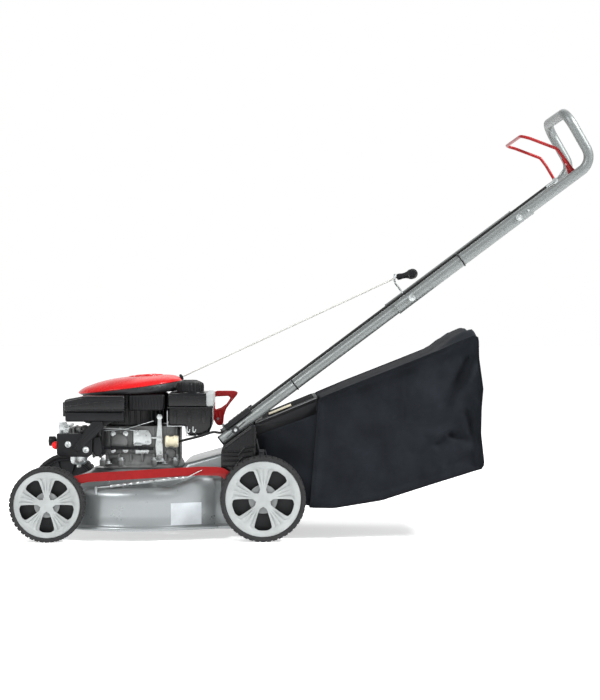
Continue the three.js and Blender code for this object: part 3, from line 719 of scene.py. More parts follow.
def build_tyre(place, s, radius, rim, centre):
    bm = bmesh.new()
    middle = spot(centre[0], s * WHEEL_Y, centre[1])
    profile = [(rim, -19), (rim + 1.5, -20.5), (radius - 6, -21.8), (radius - 3, -20.6), (radius - 2, -17),
               (radius - 1.6, 0), (radius - 2, 17), (radius - 3, 20.6), (radius - 6, 21.8), (rim + 1.5, 20.5),
               (rim, 19)]
    add_turned(bm, profile, middle, (0, 1, 0), 96)
    count = sizes().tread_blocks
    arc = 2 * math.pi * radius / count
    for row in (-1, 0, 1):
        shift = 0.5 if row == 0 else 0.0
        low, high = (-6.5, 6.5) if row == 0 else sorted((row * 8.0, row * 21.0))
        for i in range(count):
            a = 2 * math.pi * (i + shift) / count
            turn = Matrix.Rotation(-a, 3, "Y")
            out = turn @ Vector((1, 0, 0))
            block = Matrix.Translation(middle + out * (radius - 3.15) + Vector((0, (low + high) / 2, 0)))
            size = Matrix.Diagonal((6.2, high - low, arc * 0.7, 1))
            bmesh.ops.create_cube(bm, size=1.0, matrix=block @ turn.to_4x4() @ size)
    piece(bm, f"tread_{place}", f"wheel_{place}", "rubber", (f"tyre_{place}",))


def build_core(place, s, rim, centre):
    bm = bmesh.new()
    middle = spot(centre[0], s * WHEEL_Y, centre[1])
    profile = [(6.5, 21.4), (16, 21.4), (17, -7.5), (rim - 6, -7.5), (rim - 5, 19.4), (rim - 0.8, 19),
               (rim - 1, -15.5), (rim - 5, -15.8), (rim - 7, -9.5), (19, -9.5), (18, -17), (6.5, -17)]
    add_turned(bm, [(r, h * s) for r, h in profile], middle, (0, 1, 0), 72)
    for i in range(10):
        turn = Matrix.Rotation(2 * math.pi * i / 10, 3, "Y")
        place_at = middle + turn @ Vector(((rim + 12) / 2, 0, 0)) + Vector((0, -13 * s, 0))
        size = Matrix.Diagonal((rim - 22, 8, 3, 1))
        bmesh.ops.create_cube(bm, size=1.0, matrix=Matrix.Translation(place_at) @ turn.to_4x4() @ size)
    piece(bm, f"core_{place}", f"wheel_{place}", "band", (f"wheel_core_{place}",))


def spoke_angle(r, rim):
    """Half the angle that a spoke takes at radius r: its edges are nearly radial and flare at both ends."""
    t = (r / rim - 0.2) / 0.63
    half = math.radians(16.5 + 3.0 * max(0.0, t) ** 2)
    flare = max(0.0, t - 0.9) / 0.1
    root = max(0.0, 0.14 - t) / 0.14
    return min(half + math.radians(8) * flare ** 2 + math.radians(15) * root ** 1.6, math.radians(35.5))


def build_hubcap(place, s, rim, centre):
    spokes, per_side, rows = 5, 12, 20
    count = spokes * 2 * per_side
    sector = 2 * math.pi / spokes
    disc, outer = rim * 0.2, rim * 0.83
    radii = [1.5, rim * 0.08, rim * 0.14, disc]
    radii += [disc + (outer - disc) * i / rows for i in range(1, rows + 1)]
    radii += [rim * 0.86, rim * 0.93, rim - 1.6, rim - 0.2, rim]
    bm = bmesh.new()
    even = [2 * math.pi * i / count for i in range(count)]
    rings = [ring_on(bm, [(r * math.cos(a), 0, r * math.sin(a)) for a in even]) for r in radii]
    join_rings(bm, rings)
    bm.faces.new(rings[0])
    for r, ring in zip(radii, rings):
        half = spoke_angle(r, rim)
        for i, v in enumerate(ring):
            number, k = divmod(i, 2 * per_side)
            t = (k - per_side) / per_side
            across = min(abs(t) / 0.6, 1)
            beyond = max(abs(t) - 0.6, 0) / 0.4
            a = math.copysign(across * half + beyond * (sector / 2 - half), t)
            a += math.pi / 2 + number * sector
            fan = ease(r, rim * 0.3, rim * 0.5) * (1 - ease(r, rim * 0.8, rim * 0.86))
            ribs = 3.0 * math.exp(-((across - 0.55) / 0.13) ** 2) + 2.4 * math.exp(-(across / 0.13) ** 2)
            groove = fan * ribs + 1.2 * fan * (1 - across ** 4)
            dish = 1.6 * ease(r, rim * 0.16, rim * 0.5) * (1 - ease(r, rim * 0.66, rim * 0.86))
            crown = 0.9 * (1 - ease(r, 2, rim * 0.16))
            edge = -2.4 if r > rim - 1 else -0.7 if r > rim * 0.9 else 0
            v.co = (r * math.cos(a), 4.6 + crown - groove - dish + edge, r * math.sin(a))
    doomed = []
    for face in bm.faces:
        middle = face.calc_center_median()
        r = math.hypot(middle.x, middle.z)
        a = (math.atan2(middle.z, middle.x) - math.pi / 2 + 10 * math.pi) % sector
        if disc < r < outer and min(a, sector - a) > spoke_angle(r, rim) * 1.01:
            doomed.append(face)
    bmesh.ops.delete(bm, geom=doomed, context="FACES")
    bmesh.ops.recalc_face_normals(bm, faces=bm.faces)
    if sum(f.normal.y * f.calc_area() for f in bm.faces) < 0:
        bmesh.ops.reverse_faces(bm, faces=bm.faces)
    back = bmesh.ops.extrude_face_region(bm, geom=list(bm.faces), use_keep_orig=True)["geom"]
    bmesh.ops.translate(bm, vec=(0, -3.4, 0), verts=[v for v in back if isinstance(v, bmesh.types.BMVert)])
    turn = Matrix.Identity(4) if s > 0 else Matrix.Diagonal((1, -1, 1, 1))
    bm.transform(Matrix.Translation((centre[0], s * COVER_Y, centre[1])) @ turn)
    bmesh.ops.recalc_face_normals(bm, faces=bm.faces)
    made = piece(bm, f"cover_{place}", f"wheel_{place}", "cover", (f"hubcap_{place}",), 50)
    edge = made.modifiers.new("Edge", "BEVEL")
    edge.width = 0.0006
    edge.segments = 2
    edge.limit_method = "ANGLE"
    edge.angle_limit = math.radians(50)
    # The recessed middle disc, in the darker copy of the cover grey: painted shade in the hub's recess.
    bm = bmesh.new()
    dish = [(7, -6), (rim * 0.34, -6), (rim * 0.385, -5.4), (rim * 0.385, -2.4), (rim * 0.36, -1.6),
            (rim * 0.2, -2.2), (7, -2.4)]
    middle = spot(centre[0], s * COVER_Y, centre[1])
    add_turned(bm, [(r, h * s) for r, h in dish], middle, (0, 1, 0), 64)
    piece(bm, f"disc_{place}", f"wheel_{place}", "disc")


def build_wheels():
    for place, s, radius, rim, centre in WHEELS:
        build_tyre(place, s, radius, rim, centre)
        build_core(place, s, rim, centre)
        build_hubcap(place, s, rim, centre)


# ---- Running gear ----


def build_running_gear():
    for node in ("rear_axle", "front_axle"):
        dressed(node, "zinc", 0.8)
    bm = bmesh.new()
    line = (LINK_PINS[0], (-560, 117.5), (-511, 119), (-462, 136), (-411, 147), (-265, 155.5), (-150, 162),
            (-96, 161), LINK_PINS[1])
    add_strap(bm, rounded([spot(x, 0, z) for x, z in line], 34), 10.3, -183, -179)
    for x, z in LINK_PINS:
        add_rod(bm, (x, -183, z), (x, -179, z), 11, 32, 0.6)
    piece(bm, "link_strip", "link_bar", "red", ("link_bar",), 30)
    bm = bmesh.new()
    for x, z in LINK_PINS:
        add_bolt(bm, (x, -183.2, z), (0, -1, 0), 5, 2.2, True)
    piece(bm, "bar_pins", "link_bar", "zinc")
    bm = bmesh.new()
    hook, eye = spot(-391, -189.5, 124), spot(-148, -188.5, 163)
    start, end = spot(-357, -189.5, 127), spot(-186, -189.5, 147)
    add_helix(bm, start, end, 3.5, 0.85, 78, 12)
    add_pipe(bm, rounded([hook + spot(-3, 2, -4), hook, start], 3), 1.2, 3)
    add_pipe(bm, rounded([end, end + spot(9, 0, 1), eye, eye + spot(4, 6, 1)], 4), 1.2, 3)
    piece(bm, "height_spring_coil", "chassis", "zinc", ("height_spring",),
          blend=("chassis", "rear_axle", hook, eye))
    build_lever()


def add_strap(bm, spine, half, y0, y1):
    """A flat bar with parallel edges along a line in the xz plane."""
    upper, lower = [], []
    for i, p in enumerate(spine):
        along = (spine[min(i + 1, len(spine) - 1)] - spine[max(i - 1, 0)]).normalized()
        upper.append((p.x - along.z * half, p.z + along.x * half))
        lower.append((p.x + along.z * half, p.z - along.x * half))
    add_slab(bm, upper + lower[::-1], y0, y1, 0.8)


def build_lever():
    bm = bmesh.new()
    y = 181.5
    add_pipe(bm, [(-54.5, y, 75), (-101, y, 252)], 4, 6)
    add_rod(bm, spot(-54.5, 176.4, 75), spot(-54.5, 185, 75), 12, 28, 0.8)
    add_bolt(bm, (-54.5, 185, 75), (0, 1, 0), 6, 4)
    piece(bm, "lever_rod", "rear_axle", "zinc", ("height_lever",))
    bm = bmesh.new()
    outline = ((-112, 248.5), (-104, 249), (-100, 254), (-99, 272), (-93, 291), (-80, 309), (-64, 328),
               (-63, 334), (-74, 337), (-116, 337), (-127, 332), (-129.5, 318), (-129, 280), (-126, 266),
               (-119, 252), (-112, 248.5))
    window = ((-121, 289), (-106, 294), (-92, 304), (-82, 319), (-88, 323.5), (-121, 322), (-121, 289))
    outer = rounded([spot(x, y, z) for x, z in outline], 3)
    inner = rounded([spot(x, y, z) for x, z in window], 2.5)
    add_frame(bm, outer[:-1], inner[:-1], y - 6.5, y + 6.5, spot(-106, y, 309))
    for a, b in (((-121, 282), (-113, 257)), ((-113, 285), (-107, 257)), ((-103, 287), (-102, 260))):
        for s in (-1, 1):
            add_pipe(bm, [(a[0], y + s * 6.4, a[1]), (b[0], y + s * 6.4, b[1])], 1.3, 2)
    for s in (-1, 1):
        add_pipe(bm, [(-124, y + s * 6.2, 285), (-106, y + s * 6.2, 289), (-90, y + s * 6.2, 300),
                      spot(-72, y + s * 6.2, 324)], 1.2, 2)
    piece(bm, "lever_handle", "rear_axle", "red", ("lever_grip",), 34)
    bm = bmesh.new()
    add_turned(bm, [(0.01, 0), (3.4, 0), (3, 1.4), (0.01, 1.8)], spot(-114, y - 6.4, 266), (0, -1, 0), 20)
    piece(bm, "lever_screw", "rear_axle", "steel")


def add_frame(bm, outer, inner, y0, y1, centre):
    """A flat frame with a window: both outlines are met along rays from a centre."""
    count = 64

    def hit(outline, angle):
        ray = Vector((math.cos(angle), 0, math.sin(angle)))
        best = None
        for a, b in zip(outline, outline[1:] + outline[:1]):
            p, q = a - centre, b - centre
            cross = ray.x * (q.z - p.z) - ray.z * (q.x - p.x)
            if abs(cross) < 1e-9:
                continue
            t = (p.x * (q.z - p.z) - p.z * (q.x - p.x)) / cross
            u = (p.x * ray.z - p.z * ray.x) / cross
            if t > 0 and -1e-6 <= u <= 1 + 1e-6:
                best = t if best is None else max(best, t)
        return centre + ray * best

    angles = [2 * math.pi * i / count for i in range(count)]
    loops = []
    for y in (y0, y1):
        for outline in (outer, inner):
            loops.append([bm.verts.new((hit(outline, a).x, y, hit(outline, a).z)) for a in angles])
    edges = [[bm.edges.new((loop[i], loop[(i + 1) % count])) for i in range(count)] for loop in loops]
    rims = []
    for a, b in ((0, 1), (2, 3), (0, 2), (1, 3)):
        rims += bmesh.ops.bridge_loops(bm, edges=edges[a] + edges[b])["faces"]
    bmesh.ops.recalc_face_normals(bm, faces=rims)
    soften(bm, [e for loop in edges for e in loop], 1.6, 3)


# ---- Engine ----


def oval_ring(bm, cx, half_x, half_y, z, tilt, sides, square):
    """A ring that is an oval at square 1 and nears a rectangle as square goes to 0."""
    places = []
    for i in range(sides):
        a = 2 * math.pi * i / sides
        x = half_x * math.copysign(abs(math.cos(a)) ** square, math.cos(a))
        y = half_y * math.copysign(abs(math.sin(a)) ** square, math.sin(a))
        places.append((cx + x, y, z + tilt * x))
    return ring_on(bm, places)


def add_ovals(bm, levels, sides=64, caps=(True, True), square=1.0):
    """A skin over rings: centre, half length, half width, height and tilt of each."""
    before = set(bm.faces)
    rings = [oval_ring(bm, *level, sides, square) for level in levels]
    join_rings(bm, rings)
    for cap, ring in zip(caps, (rings[0], rings[-1])):
        if cap:
            bm.faces.new(ring)
    bmesh.ops.recalc_face_normals(bm, faces=[f for f in bm.faces if f not in before])


def hood_dome():
    """The hood's whole skin, from its lower rim to its top."""
    levels = [(-322, 122, 108, 340, 0.045), (-323, 127, 112, 344, 0.05), (-322, 126.5, 111.5, 351, 0.062),
              (-317, 119, 104, 361, 0.075), (-308, 103, 89, 370, 0.078), (-298, 79, 68, 377, 0.072),
              (-288, 46, 41, 381, 0.06), (-284, 12, 11, 382.4, 0.05)]
    bm = bmesh.new()
    add_ovals(bm, smoothed(levels, 4), 96, (False, True))
    if max(bm.faces, key=lambda f: f.calc_center_median().z).normal.z < 0:
        bmesh.ops.reverse_faces(bm, faces=bm.faces)
    return bm


def build_top_cover():
    split, slant = spot(-446, 0, 338), Vector((-0.128, 0, 1)).normalized()
    for upper, name, look, slot in ((True, "red_hood", "red_plastic", "red_plastic"),
                                    (False, "hood_band", "band", "grey_plastic")):
        bm = hood_dome()
        bmesh.ops.bisect_plane(bm, geom=[*bm.verts, *bm.edges, *bm.faces], plane_co=split, plane_no=slant,
                               clear_inner=upper, clear_outer=not upper)
        if not upper:
            middle = Matrix.Translation((HOOD_X, 0, 0))
            bm.transform(middle @ Matrix.Diagonal((0.982, 0.98, 1, 1)) @ middle.inverted())
        give_wall(piece(bm, name, "chassis", look, ("top_cover",), 60), 0.0024)
    bm = bmesh.new()
    for i in range(30):
        a = 2 * math.pi * i / 30
        ray = Vector((math.cos(a), math.sin(a), 0))
        low, high = ray * 12, ray * 40
        add_pipe(bm, [(GRILLE_X + low.x, low.y, 383.2 + 0.05 * low.x),
                      (GRILLE_X + high.x, high.y, 381.4 + 0.06 * high.x)], 1.1, 2)
    for r, z in ((12, 383.2), (26, 382.8), (40, 381.4)):
        ring = [(GRILLE_X + r * math.cos(a), r * math.sin(a), z + 0.06 * r * math.cos(a))
                for a in (2 * math.pi * i / 48 for i in range(48))]
        add_pipe(bm, ring, 1.3, 2, True)
    piece(bm, "hood_grille", "chassis", "red_plastic")
    bm = bmesh.new()
    for i in range(9):
        y = -104 + 3 * (i % 2)
        x = -300 + i * 11
        z = 338 + 0.128 * (x + 446)
        add_pipe(bm, [(x, y - 4 + i * 1.1, z - 9 - i * 0.4), (x + 5, y - 4 + i * 1.5, z - 5)], 1.5, 2)
    piece(bm, "band_fins", "chassis", "band")


def build_housing():
    bm = bmesh.new()
    wall = [(-334, 94, 78, 266, 0), (-334, 100, 84, 266, 0), (-334, 102, 87, 300, 0),
            (-336, 104, 90, 336, 0.03), (-335, 99, 85, 338, 0.03)]
    add_ovals(bm, wall, 80, (False, True))
    for i in range(44):
        a = 2 * math.pi * i / 44
        foot = spot(-334 + 100.5 * math.cos(a), 84.5 * math.sin(a), 268)
        head = spot(-336 + 104 * math.cos(a), 90 * math.sin(a), 334 + 3 * math.cos(a))
        add_pipe(bm, [foot, head], 2.4, 2)
    add_slab(bm, [(-322, 300), (-238, 300), (-236, 338), (-322, 338)], -104, -60, 5, 4)
    for i in range(11):
        x = -318 + i * 7.4
        add_pipe(bm, [(x, -104.2, 303), (x, -104.2, 334)], 1.2, 2)
    piece(bm, "fluted_housing", "chassis", "black", ("blower_housing",))


def build_filter():
    bm = bmesh.new()
    add_slab(bm, [(-468, 276), (-329, 276), (-329, 300), (-468, 300)], -148, -94, 5, 4)
    add_slab(bm, [(-342, 282), (-374, 282), (-441, 250), (-404, 249)], -140, -104, 2.5, 3)
    add_box(bm, (-424, -143, 252), (-414, -139, 268), 0.8, Matrix.Rotation(math.radians(-25), 3, "Y"))
    piece(bm, "filter_tray", "chassis", "black", ("air_filter_base",))
    bm = bmesh.new()
    add_slab(bm, [(-470, 300.6), (-327, 300.6), (-327, 337), (-420, 337), (-470, 328)], -150, -92, 6, 5)
    add_slab(bm, [(-469.5, 301), (-327, 301), (-327, 304.5), (-469.5, 304.5)], -151.4, -90.6, 1.2)
    add_pipe(bm, [(-466, -150.3, 312), (-400, -150.6, 322), (-334, -150.3, 327)], 1.5, 2)
    add_box(bm, (-474.5, -135, 288), (-467, -108, 322), 1.5)
    piece(bm, "filter_cover", "chassis", "gloss_black", ("air_filter_lid",))


def build_tank():
    bm = bmesh.new()
    lower = [(-226, 264), (-185, 264), (-181, 241), (-132, 241), (-122, 262), (-120.5, 312), (-226, 312)]
    add_slab(bm, lower, -110, 58, 7, 4)
    upper = [(-228, 308), (-119.2, 308), (-119.2, 342), (-228, 342)]
    add_slab(bm, upper, -112, 60, 7, 5)
    add_slab(bm, [(-229, 306), (-118.8, 306), (-118.8, 309.5), (-229, 309.5)], -113.2, 61.2, 1.2)
    add_rod(bm, (CAP_X, CAP_Y, 340), (CAP_X, CAP_Y, 344), 37, 48, 1.5)
    for i in range(3):
        add_box(bm, (-214 + i * 34, -113.4, 270), (-206 + i * 34, -109, 300), 1)
    piece(bm, "tank_shell", "chassis", "gloss_black", ("fuel_tank",))
    bm = bmesh.new()
    # A light grey box across the tank's rear upper corner, in the wheel covers' grey: a painted highlight
    # where the glossy corner catches the light.
    add_box(bm, (-137, -113.2, 310), (-118.2, 61.2, 342.8), 5)
    piece(bm, "tank_corner_painted_highlight", "chassis", "cover")
    bm = bmesh.new()
    base = [(0.01, 342.6), (32.5, 342.6), (33, 345), (31.2, 347), (31.2, 360), (29, 366.5), (22, 370.5),
            (12, 372.6), (0.01, 373.2)]
    middle = spot(CAP_X, CAP_Y, 0)
    add_turned(bm, base, middle, (0, 0, 1), 64)
    for i in range(26):
        a = 2 * math.pi * i / 26
        ray = spot(math.cos(a), math.sin(a), 0)
        rib = [middle + ray * r + spot(0, 0, z) for r, z in ((31.4, 346.5), (31.2, 364), (14, 371.4))]
        add_pipe(bm, rounded(rib, 7), 1.9, 2)
    piece(bm, "ribbed_cap", "fuel_cap", "black", ("fuel_cap",))
    bm = bmesh.new()
    strap = ((-229.5, 300), (-229.5, 262.2), (-187, 262.2), (-184, 238.6), (-160, 238.6))
    add_strip(bm, [(x, -104, z) for x, z in strap], 16, 1.6)
    for x in (-181, -167):
        hook = [(x, -111, 262), (x, -113, 250), (x + 5, -113, 247), (x + 6, -112, 256)]
        add_pipe(bm, rounded(hook, 3), 1.6, 2)
    piece(bm, "tank_strap", "chassis", "zinc")


def add_strip(bm, points, width, thickness):
    """A flat strap along points in an xz plane, as wide as width along y."""
    verts = [bm.verts.new(p) for p in points]
    edges = [bm.edges.new(pair) for pair in zip(verts, verts[1:])]
    made = bmesh.ops.extrude_edge_only(bm, edges=edges)["geom"]
    moved = [v for v in made if isinstance(v, bmesh.types.BMVert)]
    bmesh.ops.translate(bm, vec=(0, width, 0), verts=moved)
    faces = [f for f in made if isinstance(f, bmesh.types.BMFace)]
    bmesh.ops.solidify(bm, geom=faces, thickness=thickness)


def build_carburettor():
    bm = bmesh.new()
    outline = [(-488, 200), (-480, 193), (-412, 193), (-404, 201), (-404, 232), (-428, 248), (-488, 248)]
    add_slab(bm, outline, -147, -127, 2.2, 3)
    foot = [(-402, 238), (-404, 206), (-396, 193), (-386, 193), (-380, 206), (-388, 240)]
    add_slab(bm, foot, -140, -96, 2, 3)
    brace = [(-452, 214), (-438, 203), (-430, 210), (-377, 262), (-381, 277), (-404, 277)]
    add_slab(bm, brace, -150, -143, 2.2, 3)
    add_pipe(bm, [(-444, -150, 213), (-388, -150, 268)], 1.4, 2)
    piece(bm, "carburettor_plate", "chassis", "black", ("carburettor_cover",))
    bm = bmesh.new()
    for x, z in ((-461, 223), (-419, 210)):
        add_rod(bm, (x, -146.8, z), (x, -150.2, z), 7.4, 32, 0.3)
        add_cross_screw(bm, (x, -150.2, z), (0, -1, 0), 5.8, 3.6)
    piece(bm, "plate_screws", "chassis", "zinc")
    bm = bmesh.new()
    add_rod(bm, (-440, -126, 222), (-440, -57, 222), 17, 40, 1)
    add_box(bm, (-462, -112, 205), (-418, -92, 240), 3)
    bowl = [(0.01, 173), (14, 173), (18.5, 176.5), (20, 182), (20, 198), (22, 199), (22, 203), (0.01, 203)]
    add_turned(bm, bowl, spot(-439, -107, 0), (0, 0, 1), 48)
    add_rod(bm, (-439, -107, 165.5), (-439, -107, 174), 5.6, 6, 0.6)
    for x, z, r in ((-477, 262, 9), (-468, 250, 6.5), (-481, 244, 6)):
        add_rod(bm, (x, -128, z), (x, -104, z), r, 28, 0.8)
    add_slab(bm, [(-486, 248.6), (-462, 248.6), (-460, 262), (-468, 275), (-484, 275)], -124, -121, 0.8)
    add_helix(bm, spot(-474, -126, 262), spot(-450, -126, 270), 3.2, 0.7, 9)
    piece(bm, "carburettor_body", "chassis", "zinc", ("carburettor",))
    bm = bmesh.new()
    bulb = [(0.01, 0), (9.4, 0), (9.5, 3), (8.6, 7), (6.2, 10.2), (3, 11.8), (0.01, 12)]
    add_turned(bm, bulb, spot(-488.3, -137, 220), (-1, 0, 0), 40)
    return piece(bm, "primer_dome", "primer", "red_rubber", ("primer_bulb",))


def build_block():
    def case_details(bm):
        for i in range(7):
            x = -372 + i * 27
            add_box(bm, (x, -80.2, 178), (x + 4, -77, 258), 0.8)
            add_box(bm, (x, 77, 178), (x + 4, 80.2, 258), 0.8)
        add_slab(bm, [(-378, 186), (-205, 186), (-205, 192), (-378, 192)], -80.8, -77, 1)
        add_rod(bm, (-345, -77, 224), (-345, -84, 224), 20, 40, 1.5)
        add_rod(bm, (-222, -77, 196), (-222, -83, 196), 12, 32, 1.2)

    dressed("crankcase", "cast", 3, 32, case_details)

    bm = bmesh.new()
    skirt = [(-290, 93, 97, 160.6, 0), (-290, 96, 98, 162, 0), (-290, 96, 98, 167, 0), (-289, 93, 94, 171, 0),
             (-288, 88, 88, 179, 0), (-287, 85, 83, 189, 0), (-287, 84, 81, 196, 0)]
    add_ovals(bm, smoothed(skirt, 3), 96, square=0.3)
    for i in range(7):
        x = -376 + i * 28
        add_slab(bm, [(x, 168), (x + 5, 168), (x + 5, 196), (x, 196)], -91, -78, 1)
    for x in (-384, -340, -260, -210):
        add_rod(bm, (x, -92, 167), (x, -92, 181), 8, 28, 1)
    piece(bm, "flared_base", "chassis", "cast", ("engine_base",))
    bm = bmesh.new()
    for x in (-384, -340, -260, -210):
        add_bolt(bm, (x, -92, 181), (0, 0, 1), 5.5, 5)
    for z in (244, 204):
        for x in (-360, -330):
            add_bolt(bm, (x, -80, z), (0, -1, 0), 4.2, 4)
    piece(bm, "block_bolts", "chassis", "zinc")
    dressed("cylinder", "cast", 0.9)
    dressed("spark_plug", "black", 1.2)
    dressed("muffler", "burnt", 4)
    bm = bmesh.new()
    for row in range(5):
        for col in range(6):
            at = spot(-460 + col * 12.5, 116.3, 200 + row * 10.5)
            add_pipe(bm, [at, at + spot(6.5, 0, 0)], 1.4, 2)
    piece(bm, "muffler_louvres", "chassis", "iron")


def build_trim():
    bm = bmesh.new()
    strap = [(-255, 178), (-239, 178), (-241, 214), (-243, 262), (-244, 291), (-252, 291), (-253, 262),
             (-258, 214)]
    add_slab(bm, strap, -89, -85.5, 0.7)
    add_box(bm, (-258, -98, 177.2), (-236, -84, 180.4), 0.8)
    for z in (284, 232, 196):
        add_bolt(bm, (-248, -89, z), (0, -1, 0), 4.4, 3.6)
    add_bolt(bm, (-242, -94, 180.4), (0, 0, 1), 4.6, 4)
    piece(bm, "zinc_strap", "chassis", "zinc", ("engine_strap",))
    bm = bmesh.new()
    add_slab(bm, [(-311, 219), (-308, 217), (-271, 217), (-268, 222), (-268, 240), (-276, 253), (-311, 253)],
             -84.6, -81.4, 0.6)
    add_box(bm, (-309, -94, 216), (-290, -82, 219), 0.8)
    add_box(bm, (-268, -87, 232), (-256, -84, 236), 0.6)
    for x, z in ((-303, 245), (-277, 222)):
        add_bolt(bm, (x, -84.6, z), (0, -1, 0), 3.6, 3)
    add_slab(bm, [(-306, 196), (-276, 196), (-273, 202), (-276, 210), (-306, 210)], -88, -82, 0.7)
    add_bolt(bm, (-290, -88, 203), (0, -1, 0), 5, 4)
    piece(bm, "governor_lever", "chassis", "zinc", ("governor_plate",))
    bm = bmesh.new()
    add_pipe(bm, rounded([(-400, -101, 213), (-380, -95.5, 211), (-262, -95, 209)], 9), 3.4, 4)
    for x in (-360, -296):
        add_rod(bm, (x - 4, -95.5, 210.4), (x + 4, -95.5, 210.2), 4.6, 24, 0.6)
    piece(bm, "black_rod", "chassis", "black", ("control_rod",))
    bm = bmesh.new()
    upper = [(-400, -88, 258), (-352, -88, 257), (-310, -88, 252), (-300, -87, 246)]
    add_pipe(bm, rounded(upper, 5), 1.3, 3)
    add_pipe(bm, rounded([(-380, -90, 252), (-330, -90, 255), (-262, -91, 275)], 8), 1.1, 3)
    add_helix(bm, spot(-345, -88, 257), spot(-322, -88, 254.5), 2.6, 0.6, 11)
    piece(bm, "throttle_rods", "chassis", "zinc")
    bm = bmesh.new()
    body = [(0.01, 0), (13, 0), (14.5, 3), (14.5, 11), (12.4, 12.4), (12.4, 22), (14.2, 24), (14.2, 29),
            (11, 32), (0.01, 32)]
    add_turned(bm, body, spot(-202.4, -94, 226), (-1, 0, 0), 40)
    add_box(bm, (-226, -108.4, 219), (-212, -104, 233), 1)
    piece(bm, "cream_cover", "chassis", "cream", ("brake_cover",))


def build_blade():
    looks = {"blade": "steel", "crankshaft": "steel", "blade_bolt": "zinc", "flywheel": "iron"}
    for node, look in looks.items():
        dressed(node, look, 0.7)


# ---- Brackets and flap ----


def build_brackets():
    outline = [(-99, 110), (-99, 205), (-97, 213), (-89, 222.5), (-28, 268.5), (-23, 270), (-18, 267),
               (-16, 262), (-16, 190), (-30, 120), (-38, 62), (-72, 62)]
    for side, s in SIDES:
        bm = bmesh.new()
        low, high = sorted((s * 160.6, s * 167.6))
        add_slab(bm, outline, low, high, 2.0, 3)
        skin = s * 168.2
        for z, length in ((206, 44), (196, 36), (185, 40), (172, 30)):
            rib = [(-95, z), (-95 + length, z + 1), (-88 + length, z + 9), (-60 + length, z + 13)]
            add_pipe(bm, rounded([(x, skin, high) for x, high in rib], 5), 2.4, 3)
        add_pipe(bm, [(-19.5, skin, 262), (-20, skin, 188)], 1.5, 2)
        add_pipe(bm, [(-92, skin, 214), (-27, skin, 263)], 1.5, 2)
        inner, face = sorted((s * 129, s * 133.2))
        tab = [(-99, 206), (-84, 250), (-72, 268), (-58, 268), (-50, 256), (-50, 206)]
        add_slab(bm, tab, inner, face, 1)
        low, high = sorted((s * 129, s * 166))
        add_box(bm, (-97, low, 203), (-52, high, 208.4), 1)
        piece(bm, f"bracket_shape_{side}", "chassis", "gloss_black", (f"bracket_{side}",))
        bm = bmesh.new()
        at = HANDLE_PIVOT
        add_rod(bm, (at.x, s * 158.2, at.z), (at.x, s * 126.5, at.z), 4, 20, 0.3)
        add_bolt(bm, (at.x, s * 158.8, at.z), (0, s, 0), 4.4, 3.4, False)
        add_bolt(bm, (at.x, s * 128.8, at.z), (0, -s, 0), 6.5, 4)
        piece(bm, f"pivot_bolt_shape_{side}", "chassis", "zinc", (f"pivot_bolt_{side}",))
    bm = bmesh.new()
    for s in (-1, 1):
        add_box(bm, (-10, s * 170 - 4, 186), (3, s * 170 + 4, 212), 1.6)
        y = s * 171
        add_pipe(bm, rounded([(-15, y, 236), (-9, y, 208), (-6, y, 190)], 5), 1.5, 2)
        add_pipe(bm, rounded([(4, y, 211), (6, y, 207), (11, y, 186)], 4), 1.3, 2)
        for z in (192, 199, 206):
            add_pipe(bm, [(-9, s * 174.4, z), (2, s * 174.4, z)], 0.9, 2)
    piece(bm, "bracket_latches", "chassis", "band")


def build_flap():
    def ribs(bm):
        for i in range(5):
            y = -96 + i * 48
            add_pipe(bm, [(-2, y, 281.5), (122, y, 332)], 1.6, 2)
        for s in (-1, 1):
            add_pipe(bm, [(-8, s * 125, 272), (126, s * 125, 326.6)], 2.4, 3)
            add_pipe(bm, [(-4, s * 125, 234), (122, s * 125, 290)], 1.8, 2)

    dressed("rear_flap", "flap", 1.2, 32, ribs)
    bm = bmesh.new()
    # Light grey pipes along the flap's side and rear edges: a painted highlight on its rim.
    for s in (-1, 1):
        y = s * 128
        add_pipe(bm, rounded([(-16, y, 270), (-11, y, 274.5), (127, y, 331)], 4), 1.3, 3)
    add_pipe(bm, [(128, -127, 331), (128, 127, 331)], 1.3, 3)
    piece(bm, "flap_edge_painted_highlight", "flap", "rim")
    bm = bmesh.new()
    slope = math.atan2(58.3, 142.6)
    add_box(bm, (12, -112, 301), (70, -34, 302.6), 0.5, Matrix.Rotation(-slope, 3, "Y"))
    piece(bm, "flap_strip", "flap", "cream")


# ---- Handle ----


